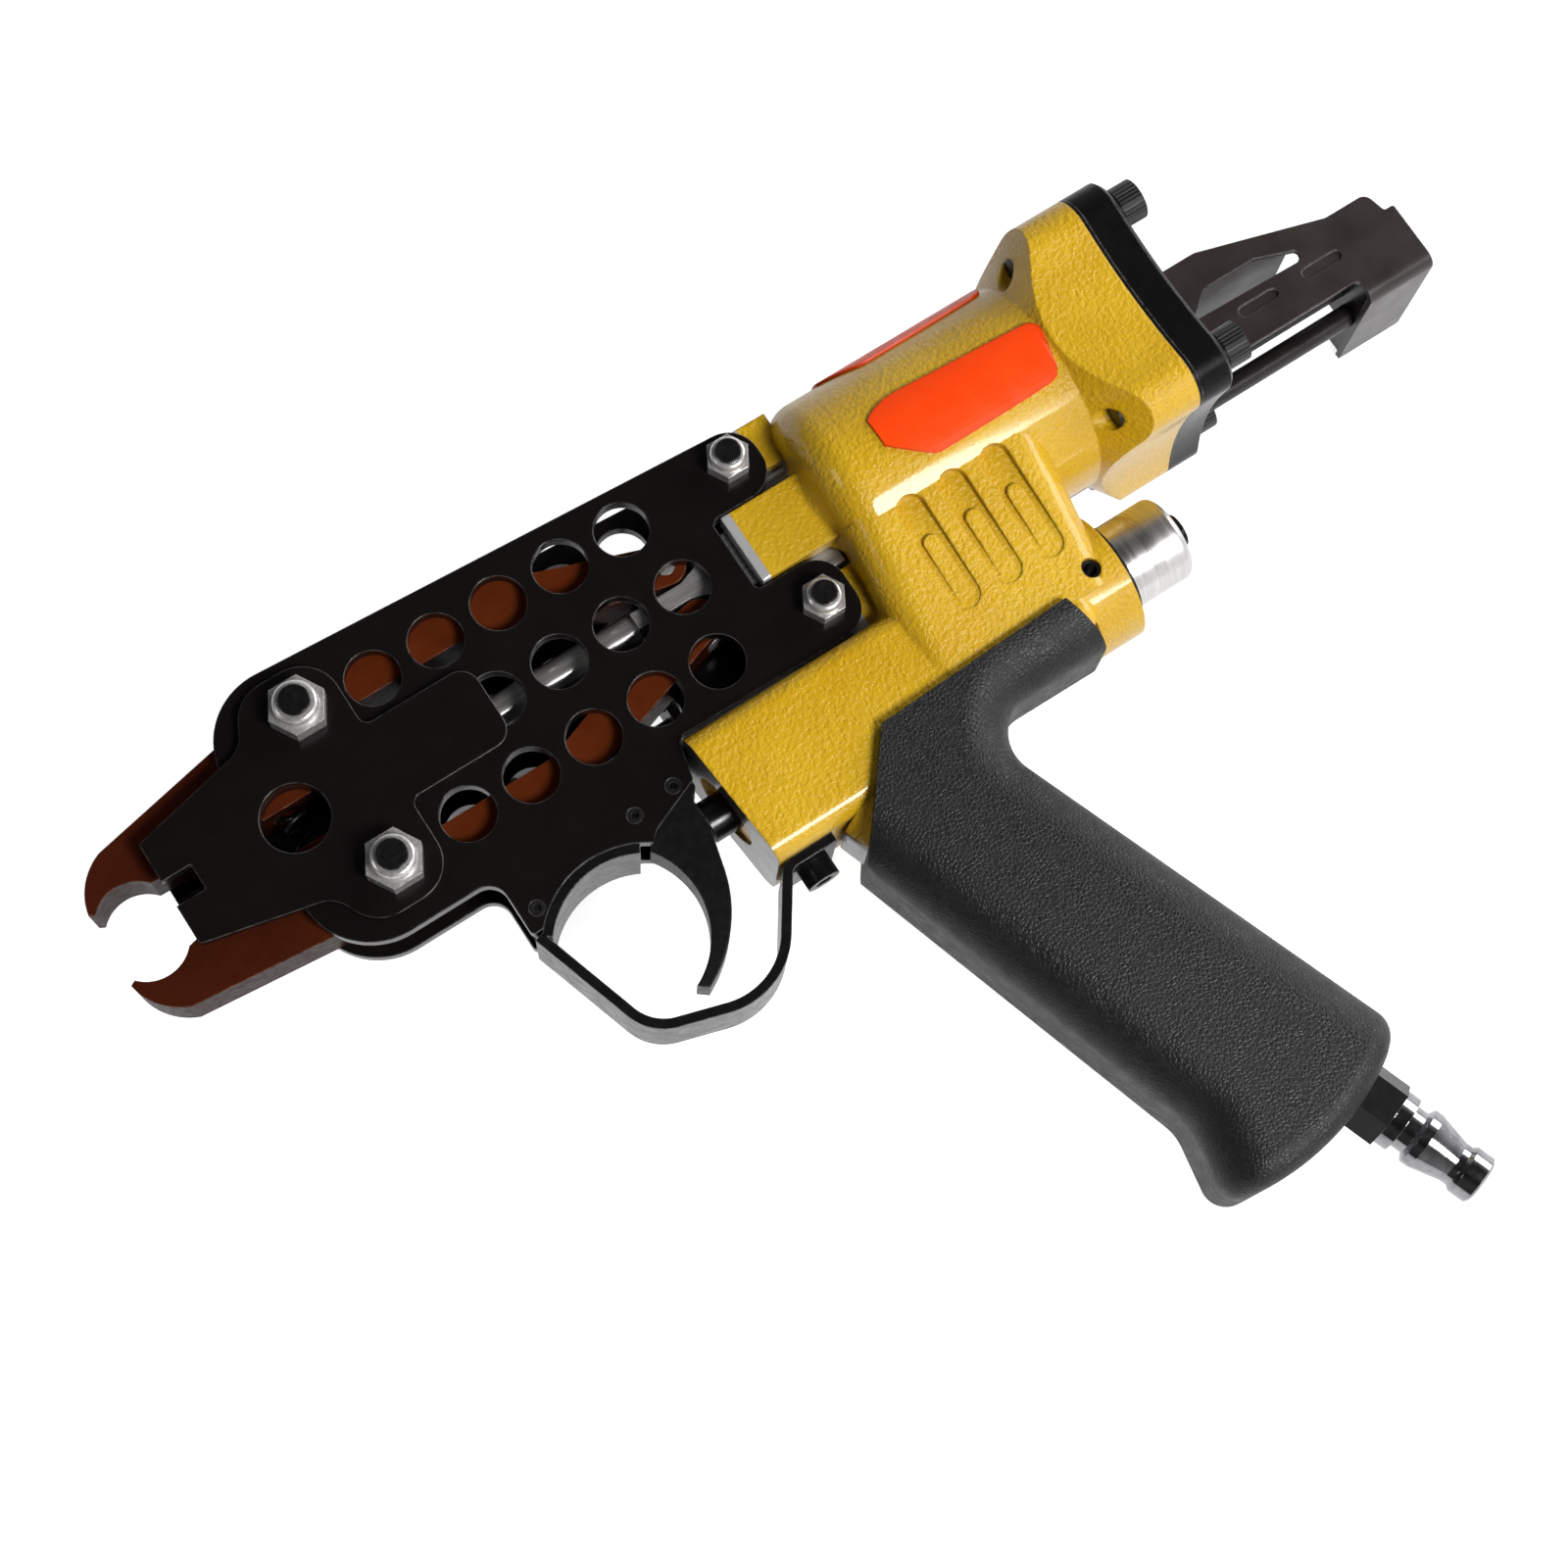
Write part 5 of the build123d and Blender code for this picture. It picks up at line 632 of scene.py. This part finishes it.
def floor():
    """Pale floor that carries the object's shadow and shows white to the camera."""
    bpy.ops.mesh.primitive_plane_add(size=FLOOR_SIZE, location=(0, 0, FLOOR_LEVEL))
    plane = bpy.context.object
    plane.name = "floor"
    material = bpy.data.materials.new("pale_floor")
    material.use_nodes = True
    tree = material.node_tree
    matt = tree.nodes["Principled BSDF"]
    matt.inputs["Base Color"].default_value = FLOOR_TONE
    matt.inputs["Roughness"].default_value = FLOOR_ROUGHNESS
    rays = tree.nodes.new("ShaderNodeLightPath").outputs
    direct = maths(tree, "MAXIMUM", rays["Is Camera Ray"], rays["Is Transmission Ray"])
    mirrored = maths(tree, "MULTIPLY", rays["Is Glossy Ray"], FLOOR_MIRRORED)
    glow = tree.nodes.new("ShaderNodeEmission")
    tree.links.new(maths(tree, "MULTIPLY_ADD", direct, FLOOR_GLOW, mirrored), glow.inputs["Strength"])
    total = tree.nodes.new("ShaderNodeAddShader")
    tree.links.new(matt.outputs[0], total.inputs[0])
    tree.links.new(glow.outputs[0], total.inputs[1])
    tree.links.new(total.outputs[0], tree.nodes["Material Output"].inputs["Surface"])
    plane.data.materials.append(material)


def lamp(name, place, size, power):
    """Soft square lamp aimed at the object."""
    light = bpy.data.lights.new(name, "AREA")
    light.size = size
    light.energy = power
    holder = bpy.data.objects.new(name, light)
    holder.location = place
    holder.rotation_euler = (Vector(LAMP_TARGET) - Vector(place)).to_track_quat("-Z", "Y").to_euler()
    bpy.context.scene.collection.objects.link(holder)


def studio():
    """White surroundings that fade overhead and away from the lamps' side."""
    world = bpy.data.worlds.new("studio")
    world.use_nodes = True
    tree = world.node_tree

    def fade(value, *limits):
        made = tree.nodes.new("ShaderNodeMapRange")
        for socket, number in zip(("From Min", "From Max", "To Min", "To Max"), limits):
            made.inputs[socket].default_value = number
        tree.links.new(value, made.inputs["Value"])
        return made.outputs["Result"]

    where = tree.nodes.new("ShaderNodeTexCoord").outputs["Generated"]
    axes = tree.nodes.new("ShaderNodeSeparateXYZ")
    tree.links.new(where, axes.inputs[0])
    side = tree.nodes.new("ShaderNodeVectorMath")
    side.operation = "DOT_PRODUCT"
    tree.links.new(where, side.inputs[0])
    side.inputs[1].default_value = LIT_SIDE
    strength = maths(tree, "MULTIPLY", fade(axes.outputs["Z"], *SKY_FADE),
                     fade(side.outputs["Value"], *SIDE_FADE))
    background = tree.nodes["Background"]
    tree.links.new(strength, background.inputs["Strength"])
    background.inputs["Color"].default_value = (1, 1, 1, 1)
    bpy.context.scene.world = world


floor()
for name, (place, size, power) in LAMPS.items():
    lamp(name, place, size, power)
studio()
bpy.context.scene.view_settings.view_transform = "Standard"

lens = bpy.data.cameras.new("photo_camera")
lens.lens = LENS
lens.sensor_width = SENSOR
lens.clip_start = NEAR_CLIP
camera = bpy.data.objects.new("photo_camera", lens)
camera.location = CAMERA_AT
camera.rotation_euler = Euler([math.radians(a) for a in CAMERA_TURN])
bpy.context.scene.collection.objects.link(camera)
bpy.context.scene.camera = camera

bpy.context.view_layer.update()
